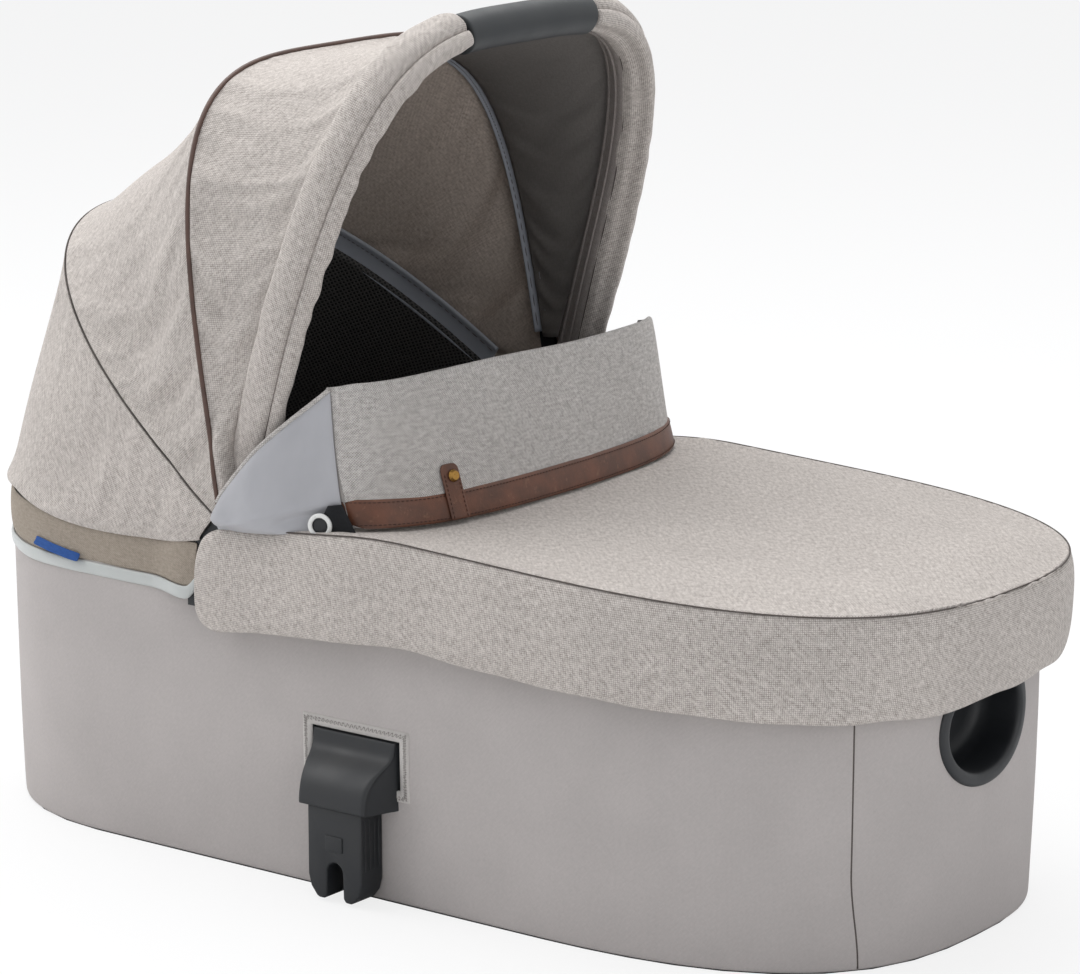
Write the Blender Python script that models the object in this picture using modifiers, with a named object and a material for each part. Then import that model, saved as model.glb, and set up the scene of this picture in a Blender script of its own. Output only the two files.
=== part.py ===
"""A carrycot: a stiff oval tub with a cloth cover, an apron with a wind flap, and a folding
hood whose front bow is the carrying handle.

Run with: blender --background --python part.py
Metres, +Z up. The origin is the middle of the flat base, on the floor. +X is the foot end.
"""
import math

import bmesh
import bpy
import numpy as np
from mathutils import Matrix, Vector

# Tub outline, seen from above
HALF_LENGTH = 0.430
HALF_WIDTH = 0.197
FOOT_ROUND = 0.274
HEAD_ROUND = 0.183
FOOT_POWER = 2.72
HEAD_POWER = 2.29
LEAN_SHARE = 0.014

# Gaps and overruns
GAP = 0.0003
OVERRUN = 0.010

# Base, wall, cover and lining
TRAY_PLATE = 0.0040
TRAY_LIP_HEIGHT = 0.0210
TRAY_LIP_WALL = 0.0025
COVER_THICKNESS = 0.0015
SHELL_THICKNESS = 0.0025
LINING_THICKNESS = 0.0030
RIM_RADIUS = 0.0075
RIM_HEIGHT = 0.2505

# Mattress
MATTRESS_THICKNESS = 0.040
MATTRESS_CLEARANCE = 0.0035
MATTRESS_DRAW_IN = 0.006

# Hand cup in the foot end
CUP_BELOW_RIM = 0.0855
CUP_HEIGHT = RIM_HEIGHT - CUP_BELOW_RIM
CUP_HALF_WIDTH = 0.059
CUP_HALF_HEIGHT = 0.048
CUP_BEZEL_WIDTH = 0.011
CUP_BEZEL_PROUD = 0.0055
CUP_DEPTH = 0.036
CUP_WALL = 0.0022
CUP_FLANGE_LAP = 0.0070

# Adapters that plug into a chassis
ADAPTER_X = 0.0085
ADAPTER_TOP = 0.1265
ADAPTER_DROP = 0.052
ADAPTER_HALF_TOP = 0.0415
ADAPTER_HALF_FOOT = 0.0435
ADAPTER_NARROWING = 0.0115
ADAPTER_DEPTH = 0.034
ADAPTER_CORNER = 0.006
WINDOW_BORDER = 0.0045
TONGUE_HALF_WIDTH = 0.0257
TONGUE_THICKNESS = 0.026
TONGUE_INSET = 0.004
TONGUE_CLEAR_OF_FLOOR = 0.0045
TONGUE_SLOT_HALF = 0.0075
TONGUE_SLOT_HEIGHT = 0.0275
TONGUE_TAPER = 0.016
SCREW_RADIUS = 0.0020
SCREW_HEAD_RADIUS = 0.0038
SCREW_HEAD_HEIGHT = 0.0020
ADAPTER_SCREW_SPACING = 0.050

# Hood pivots
PIVOT_X = -0.105
PIVOT_ABOVE_RIM = 0.0235
PIVOT_HEIGHT = RIM_HEIGHT + PIVOT_ABOVE_RIM
PIN_RADIUS = 0.0030
PIN_CLEARANCE = 0.0003
PIN_HEAD_RADIUS = 0.0060
PIN_HEAD_HEIGHT = 0.0014
ARM_THICKNESS = 0.0034
ARM_HALF_WIDTH = 0.0070
ARM_REACH = 0.086
ARM_PITCH = 0.0040
ARM_CLEAR_OF_WALL = 0.0045
ARM_STACK_START = HALF_WIDTH + ARM_CLEAR_OF_WALL
HOUSING_THICKNESS = 0.0032
HOUSING_DROP = 0.068
HOUSING_REACH_BACK = 0.038
HOUSING_REACH_AHEAD = 0.013
HOUSING_FOOT_HEIGHT = PIVOT_HEIGHT - HOUSING_DROP
HOUSING_HEAD_X = PIVOT_X - HOUSING_REACH_BACK
HOUSING_TOE_X = PIVOT_X + HOUSING_REACH_AHEAD
HOUSING_EAR_RADIUS = 0.0115
HOUSING_BLOCK_DROP = 0.026
HOUSING_BLOCK_TOP = PIVOT_HEIGHT - HOUSING_BLOCK_DROP

# Hood bows: lean of the bow's plane from upright, and the height and power of its arch
FRONT_LEAN = math.radians(18.0)
FRONT_REACH = 0.386
FRONT_POWER = 3.88
FRONT_TUBE_RADIUS = 0.0070
MID_LEAN = math.radians(-10.0)
MID_REACH = 0.336
MID_POWER = 4.2
REAR_LEAN = math.radians(-54.3)
REAR_REACH = 0.333
REAR_POWER = 2.4
THIN_TUBE_RADIUS = 0.0035
BOW_FOOT = 0.0740
BOW_STATIONS = 27
LEG_STATIONS = 12
GRIP_STATIONS = 7

# Handle grip and rim sleeves on the front bow
GRIP_HALF_LENGTH = 0.078
GRIP_RADIUS = 0.0155
SLEEVE_HALF_DEPTH = 0.0205
SLEEVE_HALF_THICKNESS = 0.0150
SLEEVE_FOOT_SHARE = 0.50
BORE_CLEARANCE = 0.0009
SLEEVE_END_GAP = 0.0006

# Hood cloth
CLOTH = 0.0016
PANEL_START = 0.050
PANEL_SAG = 0.0050
MESH_FOOT_INSET = 0.0070
CLOTH_ROWS = 4
CLOTH_LIFT = 0.0010
PANEL_SAG_SHARE = 0.04
NECK_HEM_OUT = 0.0075
NECK_HEM_ABOVE_RIM = 0.0095
NECK_HEM_BEHIND_PIVOT = 0.043
NECK_HEM_HEIGHT = RIM_HEIGHT + NECK_HEM_ABOVE_RIM
NECK_START_X = PIVOT_X - NECK_HEM_BEHIND_PIVOT

# Band under the hood, round the head end
BAND_THICKNESS = 0.0035
BAND_HEIGHT = 0.0380
BAND_DROP = 0.0010
TRIM_HEIGHT = 0.0095
TRIM_THICKNESS = 0.0042
TAB_LENGTH = 0.034
TAB_HEIGHT = 0.011
TAB_THICKNESS = 0.0012
TAB_RAISE = 0.0022
TAB_FROM_HEAD_END = 0.130
TAB_X = TAB_FROM_HEAD_END - HALF_LENGTH

# Apron
SEAM_EXTRA_LENGTH = 0.027
SEAM_EXTRA_WIDTH = 0.0165
SEAM_ABOVE_RIM = 0.0165
SEAM_HEIGHT = RIM_HEIGHT + SEAM_ABOVE_RIM
HEM_EXTRA_LENGTH = 0.020
HEM_EXTRA_WIDTH = 0.0265
APRON_SIDE_DROP = 0.077
HEM_HEIGHT = SEAM_HEIGHT - APRON_SIDE_DROP
APRON_TILT_SHARE = 0.042
APRON_REACH_BACK = 0.023
APRON_START_X = PIVOT_X - APRON_REACH_BACK
APRON_DIP_AHEAD = 0.145
APRON_DIP_X = PIVOT_X + APRON_DIP_AHEAD
APRON_DIP_SHARE = 0.096
APRON_DIP_BLEND = 0.030
APRON_BULGE = 0.0030
WING_DRAW_IN = 0.0012
BAND_CLOTH = 0.0040
HEM_CLOTH = 0.0030
TOP_CLOTH = 0.0050
TOP_CROWN = 0.0045
TOP_SAG = 0.0060
TOP_START_AHEAD = 0.027
TOP_START_X = PIVOT_X + TOP_START_AHEAD
TOP_LAP = 0.0090
TOP_EDGE_POWER = 4
SEAM_EASE_SHARE = 0.40
FOOT_EASE = 0.080

# Wind flap, its gussets and trim
FLAP_END_AHEAD = 0.102
FLAP_END_X = PIVOT_X + FLAP_END_AHEAD
FLAP_BULGE = 0.064
FLAP_END_OVERHANG = 0.001
FLAP_HALF_WIDTH = HALF_WIDTH + FLAP_END_OVERHANG
FLAP_POWER = 2.4
FLAP_RISE = 0.126
FLAP_TOP = SEAM_HEIGHT + FLAP_RISE
FLAP_LEAN_BACK = 0.036
FLAP_END_LEAN_BACK = 0.020
FLAP_THICKNESS = 0.0050
FLAP_SEAT = 0.0008
STRIP_HEIGHT = 0.0210
STRIP_THICKNESS = 0.0018
SNAP_TAB_FROM_END = 0.070
SNAP_TAB_Y = SNAP_TAB_FROM_END - FLAP_HALF_WIDTH
SNAP_TAB_WIDTH = 0.017
SNAP_TAB_HEIGHT = 0.042
TAB_STAND_OFF = 0.0004
SNAP_UP = 0.033
SNAP_RADIUS = 0.0048
SNAP_TOP_RADIUS = 0.0034
SNAP_HEIGHT = 0.0022
RING_RADIUS = 0.0100
RING_FACE_RADIUS = 0.0085
RING_BORE = 0.0052
RING_HEIGHT = 0.0040
RING_SET_BACK = 0.0150
GUSSET_THICKNESS = 0.0024
GUSSET_REACH = 0.074
GUSSET_HOLLOW_REACH = 0.041
GUSSET_HOLLOW_HEIGHT = 0.043
GUSSET_HEAD_HEIGHT = 0.010

# Counts
STATIONS = 60
APRON_STATIONS = 50
DENSE = 1440
ROUND_SIDES = 16
WING_STEPS = 3
TOP_COLUMNS = 17
FLAP_COLUMNS = 25
FLAP_ROWS = 5

PART = "carrycot"
SIDES = {"l": -1.0, "r": 1.0}


def clear_scene():
    """Remove every object that the file started with."""
    for item in list(bpy.data.objects):
        bpy.data.objects.remove(item, do_unlink=True)


def collection(name):
    """A new collection linked to the scene."""
    made = bpy.data.collections.new(name)
    bpy.context.scene.collection.children.link(made)
    return made


def material(name, colour, roughness, metallic=0.0):
    """A Principled material."""
    made = bpy.data.materials.new(name)
    made.use_nodes = True
    shader = made.node_tree.nodes["Principled BSDF"]
    shader.inputs["Base Color"].default_value = (*colour, 1.0)
    shader.inputs["Roughness"].default_value = roughness
    shader.inputs["Metallic"].default_value = metallic
    made.diffuse_color = (*colour, 1.0)
    return made


def place(obj, group, finish, smooth=True):
    """Put an object in a collection and give it its material."""
    for used in list(obj.users_collection):
        used.objects.unlink(obj)
    group.objects.link(obj)
    obj.data.materials.clear()
    if finish is not None:
        obj.data.materials.append(finish)
    if smooth and isinstance(obj.data, bpy.types.Mesh):
        obj.data.shade_smooth()
        obj.data.set_sharp_from_angle(angle=math.radians(35.0))
    return obj


def mesh_object(name, bm, group, finish):
    """An object from a bmesh, with its faces pointing out."""
    bmesh.ops.recalc_face_normals(bm, faces=bm.faces)
    data = bpy.data.meshes.new(name)
    bm.to_mesh(data)
    bm.free()
    return place(bpy.data.objects.new(name, data), group, finish)


def loft(name, rows, group, finish, wrap_rows=False):
    """A solid through closed rings of points, capped at its ends or joined round."""
    bm = bmesh.new()
    rings = [[bm.verts.new(point) for point in row] for row in rows]
    pairs = list(zip(rings, rings[1:]))
    if wrap_rows:
        pairs.append((rings[-1], rings[0]))
    else:
        bm.faces.new(rings[0])
        bm.faces.new(rings[-1])
    for low, high in pairs:
        for index in range(len(low)):
            after = (index + 1) % len(low)
            bm.faces.new((low[index], low[after], high[after], high[index]))
    return mesh_object(name, bm, group, finish)


def slab(name, front, back, group, finish):
    """A cloth solid between two like grids of points, closed round its edge."""
    bm = bmesh.new()
    grids = [[[bm.verts.new(point) for point in row] for row in rows] for rows in (front, back)]
    for grid in grids:
        for low, high in zip(grid, grid[1:]):
            for a, b, c, d in zip(low, low[1:], high[1:], high):
                bm.faces.new((a, b, c, d))
    edges = []
    for grid in grids:
        across = grid[0] + [row[-1] for row in grid[1:]]
        back_again = grid[-1][-2::-1] + [row[0] for row in grid[-2:0:-1]]
        edges.append(across + back_again)
    for index in range(len(edges[0])):
        after = (index + 1) % len(edges[0])
        bm.faces.new((edges[0][index], edges[0][after], edges[1][after], edges[1][index]))
    bmesh.ops.remove_doubles(bm, verts=bm.verts, dist=GAP / ROUND_SIDES)
    bmesh.ops.dissolve_degenerate(bm, edges=bm.edges, dist=GAP / ROUND_SIDES)
    return mesh_object(name, bm, group, finish)


def box(name, low, high, group, finish):
    """A box between two corners."""
    bm = bmesh.new()
    bmesh.ops.create_cube(bm, size=1.0)
    size = Vector(high) - Vector(low)
    middle = (Vector(high) + Vector(low)) / 2
    fit = Matrix.Translation(middle) @ Matrix.Diagonal((*size, 1.0))
    bmesh.ops.transform(bm, matrix=fit, verts=bm.verts)
    return mesh_object(name, bm, group, finish)


def rod_along_y(name, centre, radius, length, group, finish):
    """A plain cylinder along Y about its centre."""
    bm = bmesh.new()
    turn = Matrix.Rotation(math.pi / 2, 4, "X")
    bmesh.ops.create_cone(
        bm, cap_ends=True, segments=ROUND_SIDES, radius1=radius, radius2=radius, depth=length,
        matrix=Matrix.Translation(centre) @ turn,
    )
    return mesh_object(name, bm, group, finish)


def turned_along_y(name, profile, centre, facing, group, finish):
    """A turned piece: (radius, depth) pairs from its front to its back, its axis along Y."""
    bm = bmesh.new()
    points = [bm.verts.new((radius, 0.0, -depth)) for radius, depth in profile]
    for first, second in zip(points, points[1:]):
        bm.edges.new((first, second))
    data = bpy.data.meshes.new(name)
    bm.to_mesh(data)
    bm.free()
    obj = place(bpy.data.objects.new(name, data), group, finish, smooth=False)
    turn = obj.modifiers.new("turn", "SCREW")
    turn.steps = ROUND_SIDES
    turn.render_steps = ROUND_SIDES
    turn.use_merge_vertices = True
    turn.merge_threshold = GAP / ROUND_SIDES
    turn.use_smooth_shade = True
    obj.rotation_euler = (-facing * math.pi / 2, 0.0, 0.0)
    obj.location = centre
    return obj


def plate(name, outlines, thickness, group, finish):
    """A flat outline in XZ, given a thickness along Y. The first outline is outside, others are holes."""
    data = bpy.data.curves.new(name, "CURVE")
    data.dimensions = "2D"
    data.fill_mode = "BOTH"
    data.extrude = thickness / 2
    for points in outlines:
        spline = data.splines.new("POLY")
        spline.points.add(len(points) - 1)
        for slot, (x, z) in zip(spline.points, points):
            slot.co = (x, z, 0.0, 1.0)
        spline.use_cyclic_u = True
    obj = place(bpy.data.objects.new(name, data), group, finish, smooth=False)
    obj.rotation_euler = (math.pi / 2, 0.0, 0.0)
    return obj


def tube(name, points, radius, group, finish, cyclic=False, resolution=2):
    """A round tube through a list of points."""
    data = bpy.data.curves.new(name, "CURVE")
    data.dimensions = "3D"
    data.bevel_depth = radius
    data.bevel_resolution = resolution
    data.use_fill_caps = True
    spline = data.splines.new("POLY")
    spline.points.add(len(points) - 1)
    for slot, point in zip(spline.points, points):
        slot.co = (*point, 1.0)
    spline.use_cyclic_u = cyclic
    return place(bpy.data.objects.new(name, data), group, finish, smooth=False)


def as_mesh(obj):
    """The same object as one welded mesh with its modifiers applied."""
    bpy.context.view_layer.update()
    graph = bpy.context.evaluated_depsgraph_get()
    data = bpy.data.meshes.new_from_object(obj.evaluated_get(graph))
    bm = bmesh.new()
    bm.from_mesh(data)
    bmesh.ops.remove_doubles(bm, verts=bm.verts, dist=GAP / ROUND_SIDES)
    bmesh.ops.recalc_face_normals(bm, faces=bm.faces)
    bm.to_mesh(data)
    bm.free()
    name = obj.name
    matrix = obj.matrix_world.copy()
    groups = list(obj.users_collection)
    bpy.data.objects.remove(obj, do_unlink=True)
    made = bpy.data.objects.new(name, data)
    made.matrix_world = matrix
    for group in groups:
        group.objects.link(made)
    return made


def combine(obj, others, operation, keep_cutters=True):
    """Join solids to an object, or cut them out of it."""
    for other in others:
        change = obj.modifiers.new(operation.lower(), "BOOLEAN")
        change.operation = operation
        change.solver = "EXACT"
        change.object = other
        other.hide_render = True
        other.display_type = "WIRE"
    if keep_cutters:
        return obj
    merged = as_mesh(obj)
    for other in others:
        bpy.data.objects.remove(other, do_unlink=True)
    return merged


def arc(centre, radius, start, stop, count):
    """Points on an arc, angles in radians."""
    angles = np.linspace(start, stop, count)
    return [(centre[0] + radius * math.cos(a), centre[1] + radius * math.sin(a)) for a in angles]


def spaced(points, count):
    """The same path with a number of points at equal steps along it."""
    points = np.asarray(points, dtype=float)
    steps = np.linalg.norm(np.diff(points, axis=0), axis=1)
    along = np.concatenate([[0.0], np.cumsum(steps)])
    wanted = np.linspace(0.0, along[-1], count)
    return np.stack([np.interp(wanted, along, points[:, axis]) for axis in range(points.shape[1])], axis=1)


def outline(extra_length=0.0, extra_width=0.0, start_x=None, count=STATIONS):
    """Points and outward normals along the tub's plan.

    The closed outline starts at the middle of the foot end and runs by the near side. With
    start_x it is open, and runs from start_x on the near side to start_x on the far side: round
    the head end if count is above zero, and round the foot end if it is below.
    """
    angles = np.linspace(0.0, -2 * math.pi, DENSE + 1)
    cosine = np.cos(angles)
    sine = np.sin(angles)
    power = np.where(cosine >= 0, FOOT_POWER, HEAD_POWER)
    along = np.sign(cosine) * np.abs(cosine) ** (2 / power)
    across = np.sign(sine) * np.abs(sine) ** (2 / power)
    foot = FOOT_ROUND + extra_length
    head = HEAD_ROUND + extra_length
    foot_x = HALF_LENGTH - FOOT_ROUND + foot * along
    head_x = HEAD_ROUND - HALF_LENGTH + head * along
    x = np.where(cosine >= 0, foot_x, head_x)
    y = (HALF_WIDTH + extra_width) * across
    dense = np.stack([x, y], axis=1)
    keep = np.concatenate([[True], np.linalg.norm(np.diff(dense, axis=0), axis=1) > GAP / ROUND_SIDES])
    dense = dense[keep]
    if start_x is None:
        path = spaced(dense, count + 1)[:-1]
        ahead = np.roll(path, -1, axis=0) - np.roll(path, 1, axis=0)
    else:
        half = len(dense) // 2
        near = dense[:half]
        cut = np.array([[start_x, np.interp(-start_x, -near[:, 0], near[:, 1])]])
        side = near[near[:, 0] < start_x] if count > 0 else near[near[:, 0] > start_x][::-1]
        quarter = np.concatenate([cut, side])
        path = spaced(np.concatenate([quarter, (quarter * [1.0, -1.0])[::-1]]), abs(count))
        ahead = np.gradient(path, axis=0)
        if count < 0:
            ahead = -ahead
    normals = np.stack([ahead[:, 1], -ahead[:, 0]], axis=1) * -1.0
    normals /= np.linalg.norm(normals, axis=1)[:, None]
    outward = np.sign((normals * path).sum(axis=1).mean())
    return path, normals * outward


def wall_out(height):
    """How far the leaning wall stands outside the base outline at a height."""
    return LEAN_SHARE * height


def swept(name, path, normals, section, group, finish, closed):
    """A solid whose section, in (outward offset, height) pairs, follows the outline."""
    rows = []
    for point, normal in zip(path, normals):
        rows.append([(*(point + normal * out), height) for out, height in section(point)])
    return loft(name, rows, group, finish, wrap_rows=closed)


def wall_section(outer, thickness, bottom, top):
    """A leaning wall's section from its outer face's offset, thickness and ends."""
    pairs = [(outer, bottom), (outer, top), (outer - thickness, top), (outer - thickness, bottom)]
    return lambda point: [(wall_out(height) + out, height) for out, height in pairs]


def bow_normal(y, r, width, reach, power):
    """The unit direction, in (y, r), that points out of a bow's arch at a point of it."""
    out_y = math.copysign(abs(y / width) ** (power - 1.0), y) / width
    out_r = abs(r / reach) ** (power - 1.0) / reach
    size = math.hypot(out_y, out_r)
    return np.array([out_y / size, out_r / size])


def bow_arch(width, reach, power, low_y, high_y, count):
    """(y, r) stations along a part of a bow's arch, closer together where it bends."""
    turn = np.linspace(-math.pi / 2, math.pi / 2, DENSE + 1)
    y = width * np.sign(np.sin(turn)) * np.abs(np.sin(turn)) ** (2 / power)
    r = reach * np.abs(np.cos(turn)) ** (2 / power)
    kept = (r >= BOW_FOOT) & (y >= low_y) & (y <= high_y)
    points = np.stack([y[kept], r[kept]], axis=1)
    steps = np.diff(points, axis=0)
    lengths = np.linalg.norm(steps, axis=1)
    heading = np.unwrap(np.arctan2(steps[:, 1], steps[:, 0]))
    bends = np.concatenate([[0.0], np.abs(np.diff(heading))])
    weight = lengths / lengths.sum() + bends / bends.sum()
    along = np.concatenate([[0.0], np.cumsum(weight)])
    wanted = np.linspace(0.0, along[-1], count)
    return np.stack([np.interp(wanted, along, points[:, axis]) for axis in range(2)], axis=1)


def bow_stations(width, reach, power):
    """The stations of a whole bow, leg to leg."""
    return bow_arch(width, reach, power, -width, width, BOW_STATIONS)


def front_stations():
    """The front bow's stations in three parts: near leg, grip and far leg."""
    bow = (ARM_Y["front"], FRONT_REACH, FRONT_POWER)
    near = bow_arch(*bow, -ARM_Y["front"], -GRIP_HALF_LENGTH, LEG_STATIONS)
    grip = bow_arch(*bow, -GRIP_HALF_LENGTH, GRIP_HALF_LENGTH, GRIP_STATIONS)
    return near, grip, near[::-1] * [-1.0, 1.0]


def bow_place(y, r, lean, shift=0.0):
    """A point of a bow: r up its leaning plane, and shifted square to the plane towards the foot."""
    x = PIVOT_X + r * math.sin(lean) + shift * math.cos(lean)
    z = PIVOT_HEIGHT + r * math.cos(lean) - shift * math.sin(lean)
    return (x, y, z)


def eased(share):
    """A share from 0 to 1 that starts and ends gently."""
    kept = min(max(share, 0.0), 1.0)
    return kept * kept * (3.0 - 2.0 * kept)


def apron_rise(x):
    """How much higher the apron lies at x than at its foot end. It dips again towards the pivots."""
    past = APRON_DIP_X + APRON_DIP_BLEND - x
    if past > 2 * APRON_DIP_BLEND:
        dip = past - APRON_DIP_BLEND
    else:
        dip = max(past, 0.0) ** 2 / (4 * APRON_DIP_BLEND)
    return APRON_TILT_SHARE * (HALF_LENGTH - x) - (APRON_TILT_SHARE + APRON_DIP_SHARE) * dip


def apron_faces(x, share):
    """The heights of the top panel's upper and lower face, at x and a share of the way to its seam."""
    along = min(max((x - FLAP_END_X) / (HALF_LENGTH - FLAP_END_X), 0.0), 1.0)
    inside = eased((1.0 - abs(share)) / SEAM_EASE_SHARE)
    inside *= eased((HALF_LENGTH + SEAM_EXTRA_LENGTH - x) / FOOT_EASE)
    swell = TOP_CLOTH / 2 + TOP_CROWN * along - TOP_SAG * (1.0 - along)
    top = SEAM_HEIGHT + GAP + apron_rise(x) + TOP_CLOTH / 2 + swell * inside
    return top, top - TOP_CLOTH / 2 * (1.0 + inside)


def flap_x(y, end_x=FLAP_END_X, bulge=FLAP_BULGE, half_width=FLAP_HALF_WIDTH):
    """The wind flap's line across the cot, bowed towards the foot."""
    share = min(abs(y) / half_width, 1.0)
    return end_x + bulge * (1.0 - share ** FLAP_POWER) ** (1.0 / FLAP_POWER)


ARM_Y = {
    "front": ARM_STACK_START,
    "rear": ARM_STACK_START + ARM_PITCH,
    "mid": ARM_STACK_START + 2 * ARM_PITCH,
}
HOUSING_INNER_Y = ARM_Y["mid"] + ARM_THICKNESS / 2 + GAP * 2
COVER_TOP = RIM_HEIGHT + RIM_RADIUS / 2
SHELL_OUTER = -COVER_THICKNESS - GAP
LIP_OUTER = SHELL_OUTER - SHELL_THICKNESS - GAP
LINING_OUTER = LIP_OUTER - TRAY_LIP_WALL - GAP - LEAN_SHARE * (TRAY_PLATE + TRAY_LIP_HEIGHT + GAP)
RIM_OUT = wall_out(COVER_TOP) - COVER_THICKNESS - GAP - RIM_RADIUS


def build_tub(group, cutters, finish):
    """Base tray, stiff wall, rim tube, outer cover, lining, mattress and the hand cup."""
    path, normals = outline()
    floor_z = TRAY_PLATE
    lip_top = TRAY_PLATE + TRAY_LIP_HEIGHT
    lip_inner = LIP_OUTER - TRAY_LIP_WALL
    tray_rings = [
        (0.0, 0.0), (0.0, floor_z), (LIP_OUTER, floor_z), (LIP_OUTER, lip_top),
        (lip_inner, lip_top), (lip_inner, floor_z),
    ]
    rows = [[(*(p + n * out), z) for p, n in zip(path, normals)] for out, z in tray_rings]
    loft("base_tray", rows, group, finish["black_plastic"])

    shell_top = RIM_HEIGHT - math.sqrt(RIM_RADIUS ** 2 - (RIM_RADIUS * 2 / 3) ** 2) - 2 * GAP
    wall_bottom = TRAY_PLATE + GAP
    shell = swept(
        "side_shell", path, normals, wall_section(SHELL_OUTER, SHELL_THICKNESS, wall_bottom, shell_top),
        group, finish["shell_plastic"], True,
    )
    cover = swept(
        "body_cover", path, normals, wall_section(0.0, COVER_THICKNESS, wall_bottom, COVER_TOP),
        group, finish["body_cloth"], True,
    )
    lining_top = RIM_HEIGHT - RIM_RADIUS - GAP
    step = lip_top + GAP
    wall_side = SHELL_OUTER - SHELL_THICKNESS - GAP
    lining_pairs = [
        (LINING_OUTER, wall_bottom), (LINING_OUTER, step), (wall_side, step + GAP), (wall_side, lining_top),
        (wall_side - LINING_THICKNESS, lining_top), (wall_side - LINING_THICKNESS, step + LINING_THICKNESS),
        (LINING_OUTER - LINING_THICKNESS, step), (LINING_OUTER - LINING_THICKNESS, wall_bottom),
    ]
    lining = swept(
        "body_lining", path, normals,
        lambda point: [(wall_out(height) + out, height) for out, height in lining_pairs],
        group, finish["lining_cloth"], True,
    )
    rim_points = [(*(p + n * RIM_OUT), RIM_HEIGHT) for p, n in zip(path, normals)]
    tube("rim_frame", rim_points, RIM_RADIUS, group, finish["aluminium"], cyclic=True)

    mattress_top = TRAY_PLATE + GAP + MATTRESS_THICKNESS
    side_in = LINING_OUTER - LINING_THICKNESS - MATTRESS_CLEARANCE
    side_shares = (0.0, 0.14, 0.42, 0.74, 0.93, 1.0)
    draw_in_shares = (2.0, 1 / 3, 0.0, 1.0, 4.0, 12.0)
    bottom = TRAY_PLATE + GAP
    rows = [
        [
            (*(p + n * (side_in - draw_share * MATTRESS_DRAW_IN)), bottom + share * (mattress_top - bottom))
            for p, n in zip(path, normals)
        ]
        for share, draw_share in zip(side_shares, draw_in_shares)
    ]
    loft("mattress", rows, group, finish["mattress_cloth"])
    build_cup(group, cutters, finish, [shell, cover, lining])
    return shell, cover, lining


def cup_bend(y, z):
    """How far the foot end's wall lies from its middle point, at a place on the wall."""
    share = min(abs(y) / HALF_WIDTH, 1.0)
    drop = FOOT_ROUND * (1.0 - (1.0 - share ** FOOT_POWER) ** (1.0 / FOOT_POWER))
    return wall_out(z) - drop


def build_cup(group, cutters, finish, walls):
    """The moulded hand cup in the foot end, and its hole through the three walls."""
    rim = CUP_BEZEL_WIDTH
    throat = rim - CUP_WALL
    back = -CUP_DEPTH
    lap = CUP_FLANGE_LAP
    rings = [
        (throat, back, 0.0), (throat, -COVER_THICKNESS, 0.0),
        (throat, GAP, 1.0), (lap / 3, GAP, 1.0), (0.0, GAP, 1.0),
        (0.0, CUP_BEZEL_PROUD / 2, 1.0), (lap / 3, CUP_BEZEL_PROUD, 1.0),
        (throat, CUP_BEZEL_PROUD, 1.0), (rim, CUP_BEZEL_PROUD * 2 / 3, 1.0),
        (rim, -CUP_WALL, 0.0), (rim, back + CUP_WALL, 0.0),
    ]
    count = 2 * ROUND_SIDES
    rows = []
    for inset, depth, follow in rings:
        row = []
        for index in range(count):
            angle = 2 * math.pi * index / count
            y = (CUP_HALF_WIDTH - inset) * math.cos(angle)
            z = CUP_HEIGHT + (CUP_HALF_HEIGHT - inset) * math.sin(angle)
            bend = cup_bend(y, z) if follow else cup_bend(0.0, CUP_HEIGHT)
            row.append((HALF_LENGTH + bend + depth, y, z))
        rows.append(row)
    loft("foot_cup", rows, group, finish["black_plastic"])
    inset = throat - GAP
    rows = []
    for x in (HALF_LENGTH - CUP_DEPTH - OVERRUN, HALF_LENGTH + OVERRUN):
        row = []
        for index in range(count):
            angle = 2 * math.pi * index / count
            y = (CUP_HALF_WIDTH - inset) * math.cos(angle)
            row.append((x, y, CUP_HEIGHT + (CUP_HALF_HEIGHT - inset) * math.sin(angle)))
        rows.append(row)
    hole = loft("cup_hole", rows, cutters, None)
    for wall in walls:
        combine(wall, [hole], "DIFFERENCE")


def adapter_ring(side, height, half_width, depth, count=5):
    """One level of the adapter's housing: wide at the wall, narrower and rounded outside."""
    wall = HALF_WIDTH + wall_out(height) + SHELL_OUTER + GAP
    corner = min(ADAPTER_CORNER, depth / 2)
    front = wall + depth
    front_half = half_width - ADAPTER_NARROWING * depth / ADAPTER_DEPTH
    right = arc((front_half - corner, front - corner), corner, 0.0, math.pi / 2, count)
    left = arc((corner - front_half, front - corner), corner, math.pi / 2, math.pi, count)
    pairs = [(half_width, wall)] + right + left + [(-half_width, wall)]
    return [(ADAPTER_X + x, side * y, height) for x, y in pairs]


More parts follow.
